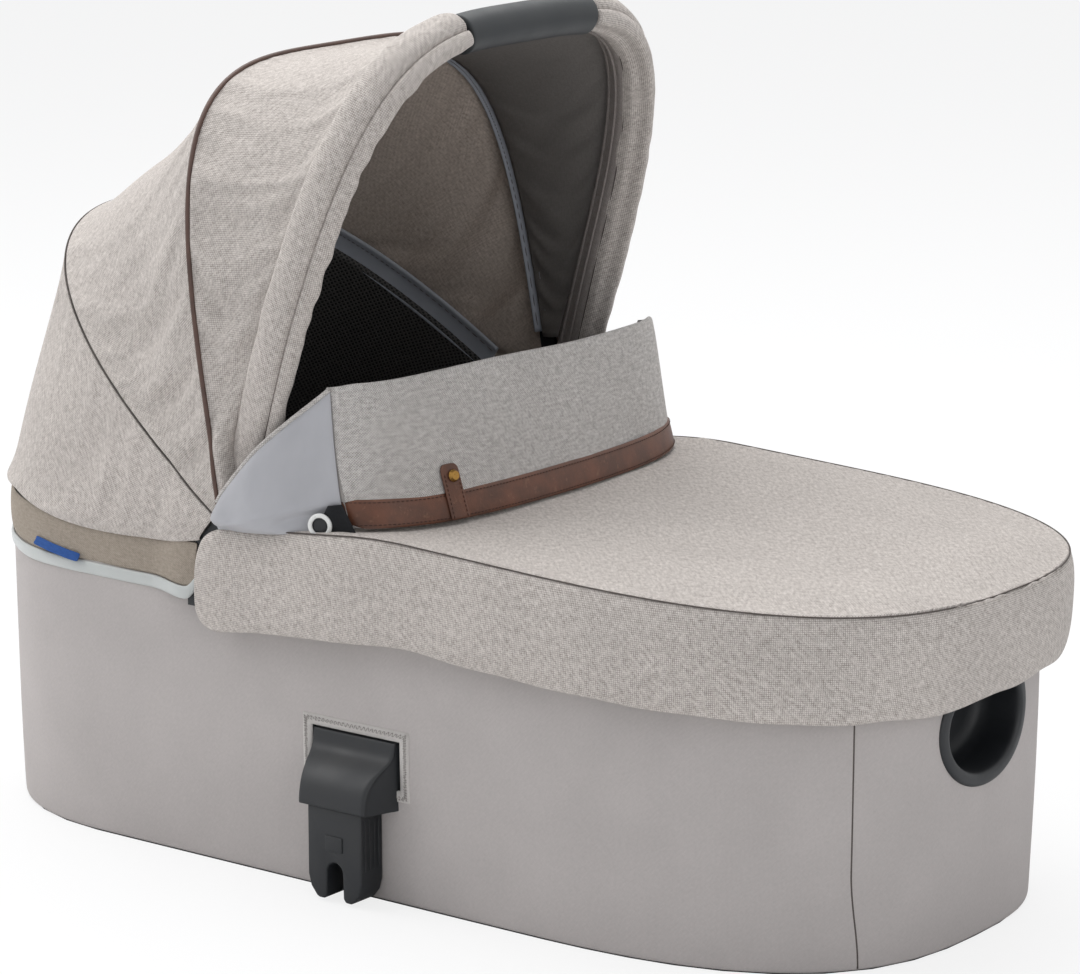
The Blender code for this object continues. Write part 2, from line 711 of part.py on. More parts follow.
def build_adapters(group, cutters, finish, walls):
    """The two plug-in adapters, low on the sides, with their screws through the wall."""
    shell, cover, lining = walls
    foot = ADAPTER_TOP - ADAPTER_DROP
    for label, side in SIDES.items():
        fall_shares = (0.0, 0.05, 0.22, 0.45, 0.72, 1.0)
        depth_shares = (0.10, 0.22, 0.52, 0.80, 0.97, 1.0)
        rows = []
        for fall_share, depth_share in zip(fall_shares, depth_shares):
            half = ADAPTER_HALF_TOP + (ADAPTER_HALF_FOOT - ADAPTER_HALF_TOP) * fall_share
            height = ADAPTER_TOP - ADAPTER_DROP * fall_share
            rows.append(adapter_ring(side, height, half, ADAPTER_DEPTH * depth_share))
        loft(f"adapter_housing_{label}", rows, group, finish["black_plastic"])

        top = foot - GAP
        bottom = TONGUE_CLEAR_OF_FLOOR
        taper = TONGUE_TAPER
        half = TONGUE_HALF_WIDTH
        slot = TONGUE_SLOT_HALF
        slot_top = bottom + TONGUE_SLOT_HEIGHT
        toe = half - taper / 2
        outline_pairs = [(-half, top), (-half, bottom + taper), (-toe, bottom), (-slot, bottom)]
        outline_pairs += arc((0.0, slot_top - slot), slot, math.pi, 0.0, 7)
        outline_pairs += [(slot, bottom), (toe, bottom), (half, bottom + taper), (half, top)]
        tongue = plate(
            f"adapter_tongue_{label}", [[(ADAPTER_X + x, z) for x, z in outline_pairs]], TONGUE_THICKNESS,
            group, finish["black_plastic"],
        )
        out = HALF_WIDTH + wall_out(foot) + SHELL_OUTER + ADAPTER_DEPTH - TONGUE_INSET - TONGUE_THICKNESS / 2
        tongue.location = (0.0, side * out, 0.0)

        border = WINDOW_BORDER
        low = (ADAPTER_X - ADAPTER_HALF_FOOT - border, 0.0, foot - border)
        high = (ADAPTER_X + ADAPTER_HALF_FOOT + border, HALF_WIDTH + OVERRUN, ADAPTER_TOP + border)
        near_low = (low[0], min(side * (HALF_WIDTH - COVER_THICKNESS), side * high[1]), low[2])
        near_high = (high[0], max(side * (HALF_WIDTH - COVER_THICKNESS), side * high[1]), high[2])
        window = box(f"adapter_window_{label}", near_low, near_high, cutters, None)
        combine(cover, [window], "DIFFERENCE")
        adapter_screws(label, side, group, cutters, finish, shell, lining)


def adapter_screws(label, side, group, cutters, finish, shell, lining):
    """Two screws from inside the wall into one adapter, and their holes."""
    height = ADAPTER_TOP - ADAPTER_DROP / 2
    wall_outer = HALF_WIDTH + wall_out(height) + SHELL_OUTER
    wall_inner = wall_outer - SHELL_THICKNESS - 2 * GAP
    for end, sign in (("head", -1.0), ("foot", 1.0)):
        x = ADAPTER_X + sign * ADAPTER_SCREW_SPACING / 2
        profile = [
            (0.0, 0.0), (SCREW_RADIUS, 0.0), (SCREW_RADIUS, wall_outer - GAP - wall_inner),
            (SCREW_HEAD_RADIUS, wall_outer - GAP - wall_inner),
            (SCREW_HEAD_RADIUS, wall_outer - GAP - wall_inner + SCREW_HEAD_HEIGHT),
            (0.0, wall_outer - GAP - wall_inner + SCREW_HEAD_HEIGHT),
        ]
        centre = (x, side * (wall_outer - GAP), height)
        turned_along_y(f"adapter_screw_{label}_{end}", profile, centre, side, group, finish["steel"])
        hole = rod_along_y(
            f"screw_hole_{label}_{end}", (x, side * (wall_outer - SHELL_THICKNESS / 2), height),
            SCREW_RADIUS + GAP, SHELL_THICKNESS + 4 * GAP, cutters, None,
        )
        combine(shell, [hole], "DIFFERENCE")
        pocket_depth = SCREW_HEAD_HEIGHT + 3 * GAP
        pocket = rod_along_y(
            f"screw_pocket_{label}_{end}", (x, side * (wall_inner + 2 * GAP - pocket_depth / 2), height),
            SCREW_HEAD_RADIUS + 2 * GAP, pocket_depth, cutters, None,
        )
        combine(lining, [pocket], "DIFFERENCE")


def build_bow(name, key, lean, curve, radius, group, finish):
    """A hood bow: a bent tube with a flat arm and a pivot hole at each foot."""
    width = ARM_Y[key]
    points = [bow_place(y, r, lean) for y, r in curve]
    hoop = as_mesh(tube(name, points, radius, group, finish))
    arms = []
    for label, side in SIDES.items():
        half = ARM_HALF_WIDTH
        stadium = arc((0.0, 0.0), half, math.pi, 2 * math.pi, 9)
        stadium += arc((0.0, ARM_REACH - half), half, 0.0, math.pi, 9)
        hole = arc((0.0, 0.0), PIN_RADIUS + PIN_CLEARANCE, 0.0, 2 * math.pi, ROUND_SIDES + 1)[:-1]
        turned = []
        for points_2d in (stadium, hole):
            placed = [bow_place(0.0, z, lean, x) for x, z in points_2d]
            turned.append([(x, z) for x, y, z in placed])
        arm = plate(f"{name}_arm_{label}", turned, ARM_THICKNESS, group, finish)
        arm.location = (0.0, side * width, 0.0)
        arms.append(as_mesh(arm))
    made = combine(hoop, arms, "UNION", keep_cutters=False)
    made.name = name
    place(made, group, finish)
    carry_origin(made, (PIVOT_X, 0.0, PIVOT_HEIGHT))
    return made


def carry_origin(obj, point):
    """Move an object's origin to a point on its joint's axis, its shape left where it is."""
    shift = Matrix.Translation(Vector(point))
    obj.data.transform(shift.inverted() @ obj.matrix_world)
    obj.matrix_world = shift


def padded_tube(name, curve, half_sizes, group, finish, sides=12):
    """A soft tube round the front bow. half_sizes gives its (depth, thickness) at each height."""
    bore = FRONT_TUBE_RADIUS + BORE_CLEARANCE
    outer = []
    inner = []
    for y, r in curve:
        out_y, out_r = bow_normal(y, r, ARM_Y["front"], FRONT_REACH, FRONT_POWER)
        depth, thickness = half_sizes(r)
        for rows, a, b in ((outer, depth, thickness), (inner, bore, bore)):
            row = []
            for step in range(sides):
                angle = 2 * math.pi * step / sides
                lift = b * math.sin(angle)
                row.append(bow_place(y + out_y * lift, r + out_r * lift, FRONT_LEAN, a * math.cos(angle)))
            rows.append(row)
    made = loft(name, outer + inner[::-1], group, finish, wrap_rows=True)
    carry_origin(made, (PIVOT_X, 0.0, PIVOT_HEIGHT))
    return made


def sleeve_sizes(r):
    """The sleeve's half sizes: it swells from its narrow foot to full size above the pivot."""
    grow = min((r - BOW_FOOT) / (FRONT_REACH / 3), 1.0)
    swell = SLEEVE_FOOT_SHARE + (1.0 - SLEEVE_FOOT_SHARE) * math.sin(grow * math.pi / 2)
    least = FRONT_TUBE_RADIUS + BORE_CLEARANCE + CLOTH
    return max(SLEEVE_HALF_DEPTH * swell, least), max(SLEEVE_HALF_THICKNESS * swell, least)


def drawn_back(curve, distance):
    """The same stations with the first one moved along the path by a distance."""
    moved = curve.copy()
    step = curve[1] - curve[0]
    moved[0] = curve[0] + step * distance / np.linalg.norm(step)
    return moved


def build_front_bow_covers(group, finish):
    """The handle grip on the crown of the front bow and the cloth sleeve on each leg."""
    near, grip, far = front_stations()
    grip_sizes = (GRIP_RADIUS, GRIP_RADIUS)
    padded_tube("carry_grip", grip, lambda r: grip_sizes, group, finish["grip_foam"], ROUND_SIDES)
    near = drawn_back(near[::-1], SLEEVE_END_GAP)
    far = drawn_back(far, SLEEVE_END_GAP)
    padded_tube("rim_sleeve_l", near, sleeve_sizes, group, finish["hood_cloth"])
    padded_tube("rim_sleeve_r", far, sleeve_sizes, group, finish["hood_cloth"])


def cloth_between(name, first, second, lift, sag, group, finish):
    """A cloth panel between two lines of points (functions of lift), drawn in between them."""
    grids = []
    for extra in (lift + CLOTH, lift):
        grid = [[] for row in range(CLOTH_ROWS + 1)]
        for a, b in zip(first(extra), second(extra)):
            start = Vector(a)
            stop = Vector(b)
            depth = math.copysign(min(abs(sag), PANEL_SAG_SHARE * (stop - start).length), sag)
            for step, row in enumerate(grid):
                share = step / CLOTH_ROWS
                point = start.lerp(stop, share)
                inward = (Vector((PIVOT_X, 0.0, PIVOT_HEIGHT)) - point).normalized()
                row.append(point + inward * 4 * depth * share * (1 - share))
        grids.append(grid)
    return slab(name, grids[0], grids[1], group, finish)


def bow_line(reach, power, lean, shift, legs=True, width=None):
    """A line of points along a bow, as a function of how far it is lifted off the bow."""
    wide = width or ARM_Y["mid"]

    def line(lift):
        """The bow's stations, lifted, with one more down each leg if the cloth goes there."""
        curve = bow_stations(wide, reach, power)
        if legs:
            low_y = wide * (1.0 - (PANEL_START / reach) ** power) ** (1.0 / power)
            curve = np.concatenate([[[-low_y, PANEL_START]], curve, [[low_y, PANEL_START]]])
        made = []
        for y, r in curve:
            out_y, out_r = bow_normal(y, r, wide, reach, power)
            made.append(bow_place(y + out_y * lift, r + out_r * lift, lean, shift))
        return made
    return line


def neck_line(lift):
    """The hood's lower edge round the head end of the tub."""
    path, normals = outline(start_x=NECK_START_X, count=BOW_STATIONS + 2)
    out = NECK_HEM_OUT + lift - THIN_TUBE_RADIUS
    return [(*(p + n * out), NECK_HEM_HEIGHT) for p, n in zip(path, normals)]


def mesh_foot_line(lift):
    """The mesh window's lower edge, inside the hood's own edge."""
    path, normals = outline(start_x=NECK_START_X - ARM_REACH, count=BOW_STATIONS)
    out = lift - MESH_FOOT_INSET
    return [(*(p + n * out), NECK_HEM_HEIGHT + MESH_FOOT_INSET) for p, n in zip(path, normals)]


def build_hood(group, finish):
    """Three bows, the cloth between them, the grip and sleeves, housings and pins."""
    front_curve = np.concatenate([part[:-1] for part in front_stations()[:2]] + [front_stations()[2]])
    mid_curve = bow_stations(ARM_Y["mid"], MID_REACH, MID_POWER)
    rear_curve = bow_stations(ARM_Y["rear"], REAR_REACH, REAR_POWER)
    build_bow("front_bow", "front", FRONT_LEAN, front_curve, FRONT_TUBE_RADIUS, group, finish["aluminium"])
    build_bow("mid_bow", "mid", MID_LEAN, mid_curve, THIN_TUBE_RADIUS, group, finish["black_plastic"])
    build_bow("rear_bow", "rear", REAR_LEAN, rear_curve, THIN_TUBE_RADIUS, group, finish["black_plastic"])
    build_front_bow_covers(group, finish)
    lift = THIN_TUBE_RADIUS + CLOTH_LIFT
    behind_sleeve = -SLEEVE_HALF_DEPTH - 2 * GAP
    front_edge = bow_line(FRONT_REACH, FRONT_POWER, FRONT_LEAN, behind_sleeve)
    mid_front = bow_line(MID_REACH, MID_POWER, MID_LEAN, GAP)
    mid_back = bow_line(MID_REACH, MID_POWER, MID_LEAN, -GAP)
    rear_front = bow_line(REAR_REACH, REAR_POWER, REAR_LEAN, GAP)
    rear_back = bow_line(REAR_REACH, REAR_POWER, REAR_LEAN, -GAP)
    cloth_between("hood_front_panel", front_edge, mid_front, lift, PANEL_SAG, group, finish["hood_cloth"])
    cloth_between("hood_rear_panel", mid_back, rear_front, lift, PANEL_SAG, group, finish["hood_cloth"])
    cloth_between("hood_neck_panel", rear_back, neck_line, lift, -PANEL_SAG / 2, group, finish["hood_cloth"])

    under = -THIN_TUBE_RADIUS - CLOTH - 2 * GAP
    inside_sleeve = -SLEEVE_HALF_DEPTH + GAP
    front_inside = bow_line(FRONT_REACH, FRONT_POWER, FRONT_LEAN, inside_sleeve, False, ARM_Y["front"])
    mid_inside = bow_line(MID_REACH, MID_POWER, MID_LEAN, GAP, False)
    rear_inside = bow_line(REAR_REACH, REAR_POWER, REAR_LEAN, -GAP, False, ARM_Y["rear"])
    cloth_between("front_lining", front_inside, mid_inside, under, PANEL_SAG, group, finish["lining_cloth"])
    cloth_between("mesh_window", rear_inside, mesh_foot_line, under, 0.0, group, finish["mesh_net"])
    build_pivots(group, finish)


def build_pivots(group, finish):
    """The plastic housing outside each pivot and the riveted pin through the bows' arms."""
    for label, side in SIDES.items():
        pivot = (PIVOT_X, PIVOT_HEIGHT)
        ear = HOUSING_EAR_RADIUS
        outer = [(HOUSING_HEAD_X, HOUSING_FOOT_HEIGHT), (HOUSING_TOE_X, HOUSING_FOOT_HEIGHT)]
        outer += [(HOUSING_TOE_X, HOUSING_BLOCK_TOP), (PIVOT_X + ear, PIVOT_HEIGHT)]
        outer += arc(pivot, ear, 0.0, math.pi, 9)[1:]
        outer += [(HOUSING_HEAD_X, HOUSING_BLOCK_TOP)]
        hole = arc(pivot, PIN_RADIUS + PIN_CLEARANCE, 0.0, 2 * math.pi, ROUND_SIDES + 1)[:-1]
        ear_plate = plate(f"hinge_housing_{label}", [outer, hole], HOUSING_THICKNESS, group, None)
        ear_plate.location = (0.0, side * (HOUSING_INNER_Y + HOUSING_THICKNESS / 2), 0.0)
        ear_plate = as_mesh(ear_plate)
        wall = HALF_WIDTH + wall_out(HOUSING_BLOCK_TOP) + GAP
        block_outer = HOUSING_INNER_Y + HOUSING_THICKNESS / 2
        ends = sorted((side * wall, side * block_outer))
        block = box(
            f"housing_block_{label}", (HOUSING_HEAD_X, ends[0], HOUSING_FOOT_HEIGHT),
            (HOUSING_TOE_X, ends[1], HOUSING_BLOCK_TOP), group, None,
        )
        housing = combine(ear_plate, [block], "UNION", keep_cutters=False)
        housing.name = f"hinge_housing_{label}"
        place(housing, group, finish["black_plastic"])

        outer_face = HOUSING_INNER_Y + HOUSING_THICKNESS + GAP
        stack = outer_face - (ARM_Y["front"] - ARM_THICKNESS / 2 - GAP)
        profile = [
            (0.0, -PIN_HEAD_HEIGHT), (PIN_HEAD_RADIUS, -PIN_HEAD_HEIGHT), (PIN_HEAD_RADIUS, 0.0),
            (PIN_RADIUS, 0.0), (PIN_RADIUS, stack), (PIN_HEAD_RADIUS, stack),
            (PIN_HEAD_RADIUS, stack + PIN_HEAD_HEIGHT), (0.0, stack + PIN_HEAD_HEIGHT),
        ]
        centre = (PIVOT_X, side * outer_face, PIVOT_HEIGHT)
        turned_along_y(f"hinge_pin_{label}", profile, centre, side, group, finish["steel"])


def build_neck_band(group, finish):
    """The cloth band round the head end under the hood, its satin trim and a plain tab."""
    path, normals = outline()
    covered = path[:, 0] < NECK_START_X
    path = path[covered]
    normals = normals[covered]
    top = NECK_HEM_HEIGHT - CLOTH - BAND_DROP
    low = top - BAND_HEIGHT
    swept(
        "neck_band", path, normals, wall_section(BAND_THICKNESS + GAP, BAND_THICKNESS, low, top),
        group, finish["band_cloth"], False,
    )
    trim_section = wall_section(TRIM_THICKNESS + GAP, TRIM_THICKNESS, low - GAP - TRIM_HEIGHT, low - GAP)
    swept("neck_trim", path, normals, trim_section, group, finish["satin"], False)
    index = int(np.argmin(np.abs(path[: len(path) // 2, 0] - TAB_X)))
    point = path[index]
    normal = normals[index]
    along = np.array([-normal[1], normal[0]])
    out = wall_out(low) + BAND_THICKNESS + 2 * GAP
    rows = []
    for share in (-0.5, 0.5):
        base = point + along * TAB_LENGTH * share
        # the tab is straight and the band is curved, so its ends stand off a little
        start = base + normal * (out + TAB_THICKNESS / 2)
        stop = start + normal * TAB_THICKNESS
        rows.append([
            (*start, low + TAB_RAISE), (*stop, low + TAB_RAISE),
            (*stop, low + TAB_RAISE + TAB_HEIGHT), (*start, low + TAB_RAISE + TAB_HEIGHT),
        ])
    loft("side_tab", rows, group, finish["tab_cloth"])


def apron_side(extra_length, extra_width):
    """The apron's edge from one wing round the foot end to the other: points and normals."""
    path, normals = outline(extra_length, extra_width, TOP_START_X, -APRON_STATIONS)
    wing = np.linspace(APRON_START_X, TOP_START_X, WING_STEPS + 1)[:-1]
    first = np.array([(x, path[0][1]) for x in wing])
    last = first[::-1] * [1.0, -1.0]
    steady = np.repeat([normals[0]], len(wing), axis=0)
    mirrored = np.repeat([normals[-1]], len(wing), axis=0)
    return np.concatenate([first, path, last]), np.concatenate([steady, normals, mirrored])


def build_apron(group, finish):
    """The apron: a side band whose elastic hem grips the tub, and a top panel."""
    seam_path, seam_normals = apron_side(SEAM_EXTRA_LENGTH, SEAM_EXTRA_WIDTH)
    hem_path, hem_normals = apron_side(HEM_EXTRA_LENGTH, HEM_EXTRA_WIDTH)
    held_out = wall_out(HEM_HEIGHT)
    held_path, held_normals = apron_side(held_out + 4 * GAP, held_out + 2 * GAP)
    rows = []
    for seam_p, seam_n, hem_p, hem_n, held_p, held_n in zip(
        seam_path, seam_normals, hem_path, hem_normals, held_path, held_normals,
    ):
        seam_z = SEAM_HEIGHT + apron_rise(seam_p[0]) - GAP
        hem_z = HEM_HEIGHT + apron_rise(hem_p[0])
        if held_p[0] > 0.0 and abs(held_p[1]) < CUP_HALF_WIDTH * 3 / 2:
            held_p = held_p + held_n * CUP_BEZEL_PROUD
        if hem_p[0] < TOP_START_X:
            seam_p = hem_p - hem_n * WING_DRAW_IN
        middle_p = (seam_p + hem_p) / 2 + hem_n * APRON_BULGE
        middle_z = (seam_z + hem_z) / 2
        rows.append([
            (*hem_p, hem_z), (*middle_p, middle_z), (*seam_p, seam_z),
            (*(seam_p - seam_n * BAND_CLOTH), seam_z), (*(middle_p - hem_n * BAND_CLOTH), middle_z),
            (*(hem_p - hem_n * BAND_CLOTH), hem_z + HEM_CLOTH),
            (*held_p, hem_z + HEM_CLOTH), (*held_p, hem_z),
        ])
    loft("apron_band", rows, group, finish["hood_cloth"])
    build_apron_top(group, finish)


def build_apron_top(group, finish):
    """The apron's padded top panel, from the foot end to just behind the wind flap."""
    near, normals = outline(SEAM_EXTRA_LENGTH, SEAM_EXTRA_WIDTH, TOP_START_X, -APRON_STATIONS)
    half = len(near) // 2 - 1
    start_x = near[0][0]
    length = near[half][0] - start_x
    across = np.sin(np.linspace(-math.pi / 2, math.pi / 2, TOP_COLUMNS))
    top_rows = []
    low_rows = []
    for index in range(half + 1):
        edge = near[index] - normals[index] * GAP
        from_head = (edge[0] - start_x) / length
        row_top = []
        row_low = []
        for share in across:
            y = share * abs(edge[1])
            reach = (flap_x(y) - TOP_LAP - start_x) * (1.0 - from_head)
            x = edge[0] + reach * (1.0 - share ** TOP_EDGE_POWER) ** (3 / 2)
            top, low = apron_faces(x, share)
            row_top.append((x, y, top))
            row_low.append((x, y, low))
        top_rows.append(row_top)
        low_rows.append(row_low)
    slab("apron_top", top_rows, low_rows, group, finish["hood_cloth"])


def flap_foot(y):
    """Where the wind flap is sewn down: just above the apron's top panel."""
    share = abs(y) / (HALF_WIDTH + SEAM_EXTRA_WIDTH)
    return apron_faces(flap_x(y), share)[0] + FLAP_SEAT


def flap_point(y, up_share, out=0.0):
    """A point of the wind flap at a place across and up it, and out towards the foot."""
    reach = abs(y) / FLAP_HALF_WIDTH
    lean = FLAP_LEAN_BACK + (FLAP_END_LEAN_BACK - FLAP_LEAN_BACK) * reach ** 2
    foot = flap_foot(y)
    return (flap_x(y) - lean * up_share + out, y, foot + (FLAP_TOP - foot) * up_share)


def flap_slab(name, across, ups, inner, thickness, group, finish):
    """A cloth or leather piece that lies along the wind flap."""
    front = [[flap_point(y, up, inner + thickness) for y in across] for up in ups]
    back = [[flap_point(y, up, inner) for y in across] for up in ups]
    return slab(name, front, back, group, finish)


def build_wind_flap(group, finish):
    """The upright wind flap, its side gussets, leather strip, snap tab and ring snaps."""
    across = np.sin(np.linspace(-math.pi / 2, math.pi / 2, FLAP_COLUMNS)) * FLAP_HALF_WIDTH
    ups = np.linspace(0.0, 1.0, FLAP_ROWS)
    flap_slab("wind_flap", across, ups, -FLAP_THICKNESS, FLAP_THICKNESS, group, finish["flap_cloth"])

    tall = FLAP_TOP - flap_foot(SNAP_TAB_Y)
    strip_ups = (0.0, STRIP_HEIGHT / tall)
    flap_slab("flap_strip", across[2:-2], strip_ups, GAP, STRIP_THICKNESS, group, finish["leather"])
    tab_across = np.linspace(SNAP_TAB_Y - SNAP_TAB_WIDTH / 2, SNAP_TAB_Y + SNAP_TAB_WIDTH / 2, 3)
    tab_inner = 2 * GAP + STRIP_THICKNESS + TAB_STAND_OFF
    tab_ups = (2 * GAP / tall, SNAP_TAB_HEIGHT / tall)
    flap_slab("snap_tab", tab_across, tab_ups, tab_inner, STRIP_THICKNESS, group, finish["leather"])
    stud = flap_point(SNAP_TAB_Y, SNAP_UP / tall, tab_inner + STRIP_THICKNESS)
    build_stud("tab_snap", stud, group, finish)
    for label, side in SIDES.items():
        build_gusset(label, side, group, finish)


def build_stud(name, point, group, finish):
    """The brass press stud on the leather tab, facing square to the flap."""
    half = SNAP_TAB_WIDTH / 2
    left = Vector(flap_point(SNAP_TAB_Y - half, 0.0))
    right = Vector(flap_point(SNAP_TAB_Y + half, 0.0))
    low = Vector(flap_point(SNAP_TAB_Y, 0.0))
    high = Vector(flap_point(SNAP_TAB_Y, 1.0))
    facing = (right - left).cross(high - low).normalized()
    bm = bmesh.new()
    spin = facing.to_track_quat("Z", "Y").to_matrix().to_4x4()
    centre = Vector(point) + facing * (SNAP_HEIGHT / 2 + 2 * GAP)
    bmesh.ops.create_cone(
        bm, cap_ends=True, segments=ROUND_SIDES, radius1=SNAP_RADIUS, radius2=SNAP_TOP_RADIUS,
        depth=SNAP_HEIGHT, matrix=Matrix.Translation(centre) @ spin,
    )
    mesh_object(name, bm, group, finish["brass"])


def build_gusset(label, side, group, finish):
    """A satin gusset from the flap's end back towards the pivot, with the ring snap on it."""
    inner = FLAP_HALF_WIDTH + GAP
    outer = inner + GUSSET_THICKNESS
    share = inner / (HALF_WIDTH + SEAM_EXTRA_WIDTH)
    end_top = FLAP_END_X - FLAP_END_LEAN_BACK
    foot = apron_faces(FLAP_END_X, share)[0] + FLAP_SEAT
    head_x = FLAP_END_X - GUSSET_REACH
    head_foot = apron_faces(head_x, share)[0] + FLAP_SEAT
    corners = [
        (FLAP_END_X, foot), (end_top, FLAP_TOP),
        (end_top - GUSSET_HOLLOW_REACH, foot + GUSSET_HOLLOW_HEIGHT),
        (head_x, head_foot + GUSSET_HEAD_HEIGHT), (head_x, head_foot),
    ]
    gusset = plate(f"gusset_{label}", [corners], GUSSET_THICKNESS, group, finish["satin"])
    gusset.location = (0.0, side * (inner + outer) / 2, 0.0)
    ring_x = FLAP_END_X - RING_SET_BACK
    ring_z = apron_faces(ring_x, share)[0] + FLAP_SEAT + RING_RADIUS + GAP
    profile = [
        (RING_BORE, 0.0), (RING_FACE_RADIUS, 0.0),
        (RING_RADIUS, RING_HEIGHT / 3), (RING_RADIUS, RING_HEIGHT),
        (RING_BORE, RING_HEIGHT), (RING_BORE, 0.0),
    ]
    face = outer + GAP + RING_HEIGHT
    centre = (ring_x, side * face, ring_z)
    turned_along_y(f"ring_snap_{label}", profile, centre, side, group, finish["white_plastic"])
    core = RING_BORE - GAP
    profile = [
        (0.0, RING_HEIGHT / 3), (core - RING_HEIGHT / 4, RING_HEIGHT / 3), (core, RING_HEIGHT / 2),
        (core, RING_HEIGHT), (0.0, RING_HEIGHT),
    ]
    turned_along_y(f"snap_core_{label}", profile, centre, side, group, finish["black_plastic"])


def main():
    """Build the whole carrycot."""
    clear_scene()
    group = collection(PART)
    cutters = collection("cutters")
    finish = {
        "black_plastic": material("black_plastic", (0.030, 0.031, 0.033), 0.55),
        "shell_plastic": material("shell_plastic", (0.16, 0.16, 0.16), 0.60),
        "aluminium": material("aluminium", (0.62, 0.62, 0.63), 0.35, 1.0),
        "steel": material("steel", (0.55, 0.55, 0.56), 0.35, 1.0),
        "body_cloth": material("body_cloth", (0.46, 0.41, 0.39), 0.90),
        "hood_cloth": material("hood_cloth", (0.50, 0.44, 0.39), 0.92),
        "band_cloth": material("band_cloth", (0.52, 0.46, 0.37), 0.92),
        "flap_cloth": material("flap_cloth", (0.46, 0.43, 0.39), 0.92),
        "lining_cloth": material("lining_cloth", (0.045, 0.040, 0.036), 0.95),
        "mattress_cloth": material("mattress_cloth", (0.62, 0.60, 0.56), 0.95),
        "mesh_net": material("mesh_net", (0.010, 0.009, 0.008), 0.80),
        "satin": material("satin", (0.38, 0.39, 0.40), 0.45),
        "leather": material("leather", (0.22, 0.090, 0.047), 0.55),
        "grip_foam": material("grip_foam", (0.035, 0.035, 0.037), 0.60),
        "brass": material("brass", (0.45, 0.28, 0.10), 0.30, 1.0),
        "white_plastic": material("white_plastic", (0.78, 0.78, 0.77), 0.35),
        "tab_cloth": material("tab_cloth", (0.028, 0.078, 0.29), 0.85),
    }
    walls = build_tub(group, cutters, finish)
    build_adapters(group, cutters, finish, walls)
    build_hood(group, finish)
    build_neck_band(group, finish)
    build_apron(group, finish)
    build_wind_flap(group, finish)
    bpy.context.view_layer.update()


main()
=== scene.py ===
"""The looks of a carrycot: its cloth, leather, plastic and metal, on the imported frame.

Everything is in metres. +X is the foot end, -Y the near side and +Z up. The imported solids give
each piece its place, and the sheets, pads and trims here take the place of the plain ones.
"""

import logging
import math
from dataclasses import dataclass
from enum import Enum

import bmesh
import bpy
import numpy as np
from bpy.types import Material, Node, NodeSocket, NodeTree, Object
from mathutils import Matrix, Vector


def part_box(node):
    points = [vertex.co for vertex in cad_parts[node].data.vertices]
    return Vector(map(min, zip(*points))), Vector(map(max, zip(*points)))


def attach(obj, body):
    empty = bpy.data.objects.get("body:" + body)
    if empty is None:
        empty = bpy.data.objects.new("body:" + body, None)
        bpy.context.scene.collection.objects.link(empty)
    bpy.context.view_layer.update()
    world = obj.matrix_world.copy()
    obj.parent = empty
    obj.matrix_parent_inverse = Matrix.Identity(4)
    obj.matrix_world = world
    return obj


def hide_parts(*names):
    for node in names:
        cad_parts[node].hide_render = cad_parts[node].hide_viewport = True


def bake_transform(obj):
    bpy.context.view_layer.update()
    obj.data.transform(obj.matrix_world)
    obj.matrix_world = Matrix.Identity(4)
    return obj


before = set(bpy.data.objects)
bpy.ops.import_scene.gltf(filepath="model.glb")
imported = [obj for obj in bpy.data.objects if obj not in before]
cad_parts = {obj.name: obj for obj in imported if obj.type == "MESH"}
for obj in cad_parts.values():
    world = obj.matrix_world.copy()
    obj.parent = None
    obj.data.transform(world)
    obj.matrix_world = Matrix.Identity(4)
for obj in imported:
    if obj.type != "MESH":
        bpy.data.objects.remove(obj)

Array = np.ndarray

LOG = logging.getLogger("carrycot")
MM = 0.001
WEAVE_MAP = "Weave"
WAVE_TURN = 2 * math.pi / 20  # a wave texture turns 20 radians a unit
TINY = 1e-9
DENSE = 2880  # points of an outline before it is spaced
DENSE_LEG = 1200  # the same for a leg of the front bow
FLAP_FACING = (1.0, 0.0, 0.25)
FLANK = (0.05, 0.3, 0.6, 0.85)  # where an adapter's flank has points
STITCH_SIDES = 6
# a stitch's rings: (share along it, share of its radius, lift in radii)
STITCH_RINGS = ((0.0, 0.35, -0.2), (0.18, 0.85, 0.5), (0.5, 1.0, 0.75), (0.82, 0.85, 0.5), (1.0, 0.35, -0.2))
SIDES = {"l": -1.0, "r": 1.0}


class Weave(Enum):
    """How a cloth's threads cross."""

    PLAIN = "plain"
    TWILL = "twill"


class End(Enum):
    """An end of the cot."""

    HEAD = "head"
    FOOT = "foot"


# Small helpers for shapes


def eased(share: Array) -> Array:
    """Turn shares from 0 to 1 into ones that start and end gently."""
    kept = np.clip(share, 0.0, 1.0)
    return kept * kept * (3.0 - 2.0 * kept)


def summed(steps: Array) -> Array:
    """Add steps up into distances, from zero."""
    return np.concatenate([[0.0], np.cumsum(steps)])


def spaced(points: Array, count: int) -> Array:
    """Put points at equal steps along a path.

    Args:
        points: The path, one row for each point.
        count: How many points to return.

    Returns:
        The same path with that many points.
    """
    along = summed(np.linalg.norm(np.diff(points, axis=0), axis=1))
    wanted = np.linspace(0.0, along[-1], count)
    return np.stack([np.interp(wanted, along, column) for column in points.T], axis=1)


def unit(vectors: Array) -> Array:
    """Scale each vector of an array to a length of one."""
    return vectors / np.maximum(np.linalg.norm(vectors, axis=-1, keepdims=True), TINY)


def square_to(ahead: Array, points: Array) -> Array:
    """Turn a plan's headings square, away from its middle.

    Args:
        ahead: The heading at each point.
        points: The points of the plan.

    Returns:
        The direction outward at each point.
    """
    outward = np.stack([-ahead[:, 1], ahead[:, 0]], axis=1)
    return outward * np.sign((outward * points).sum(axis=1).mean())


def at_height(flat: Array, height: Array | float) -> Array:
    """Stand points of the plan at one height or at a height each."""
    return np.column_stack([flat, np.broadcast_to(height, len(flat))])


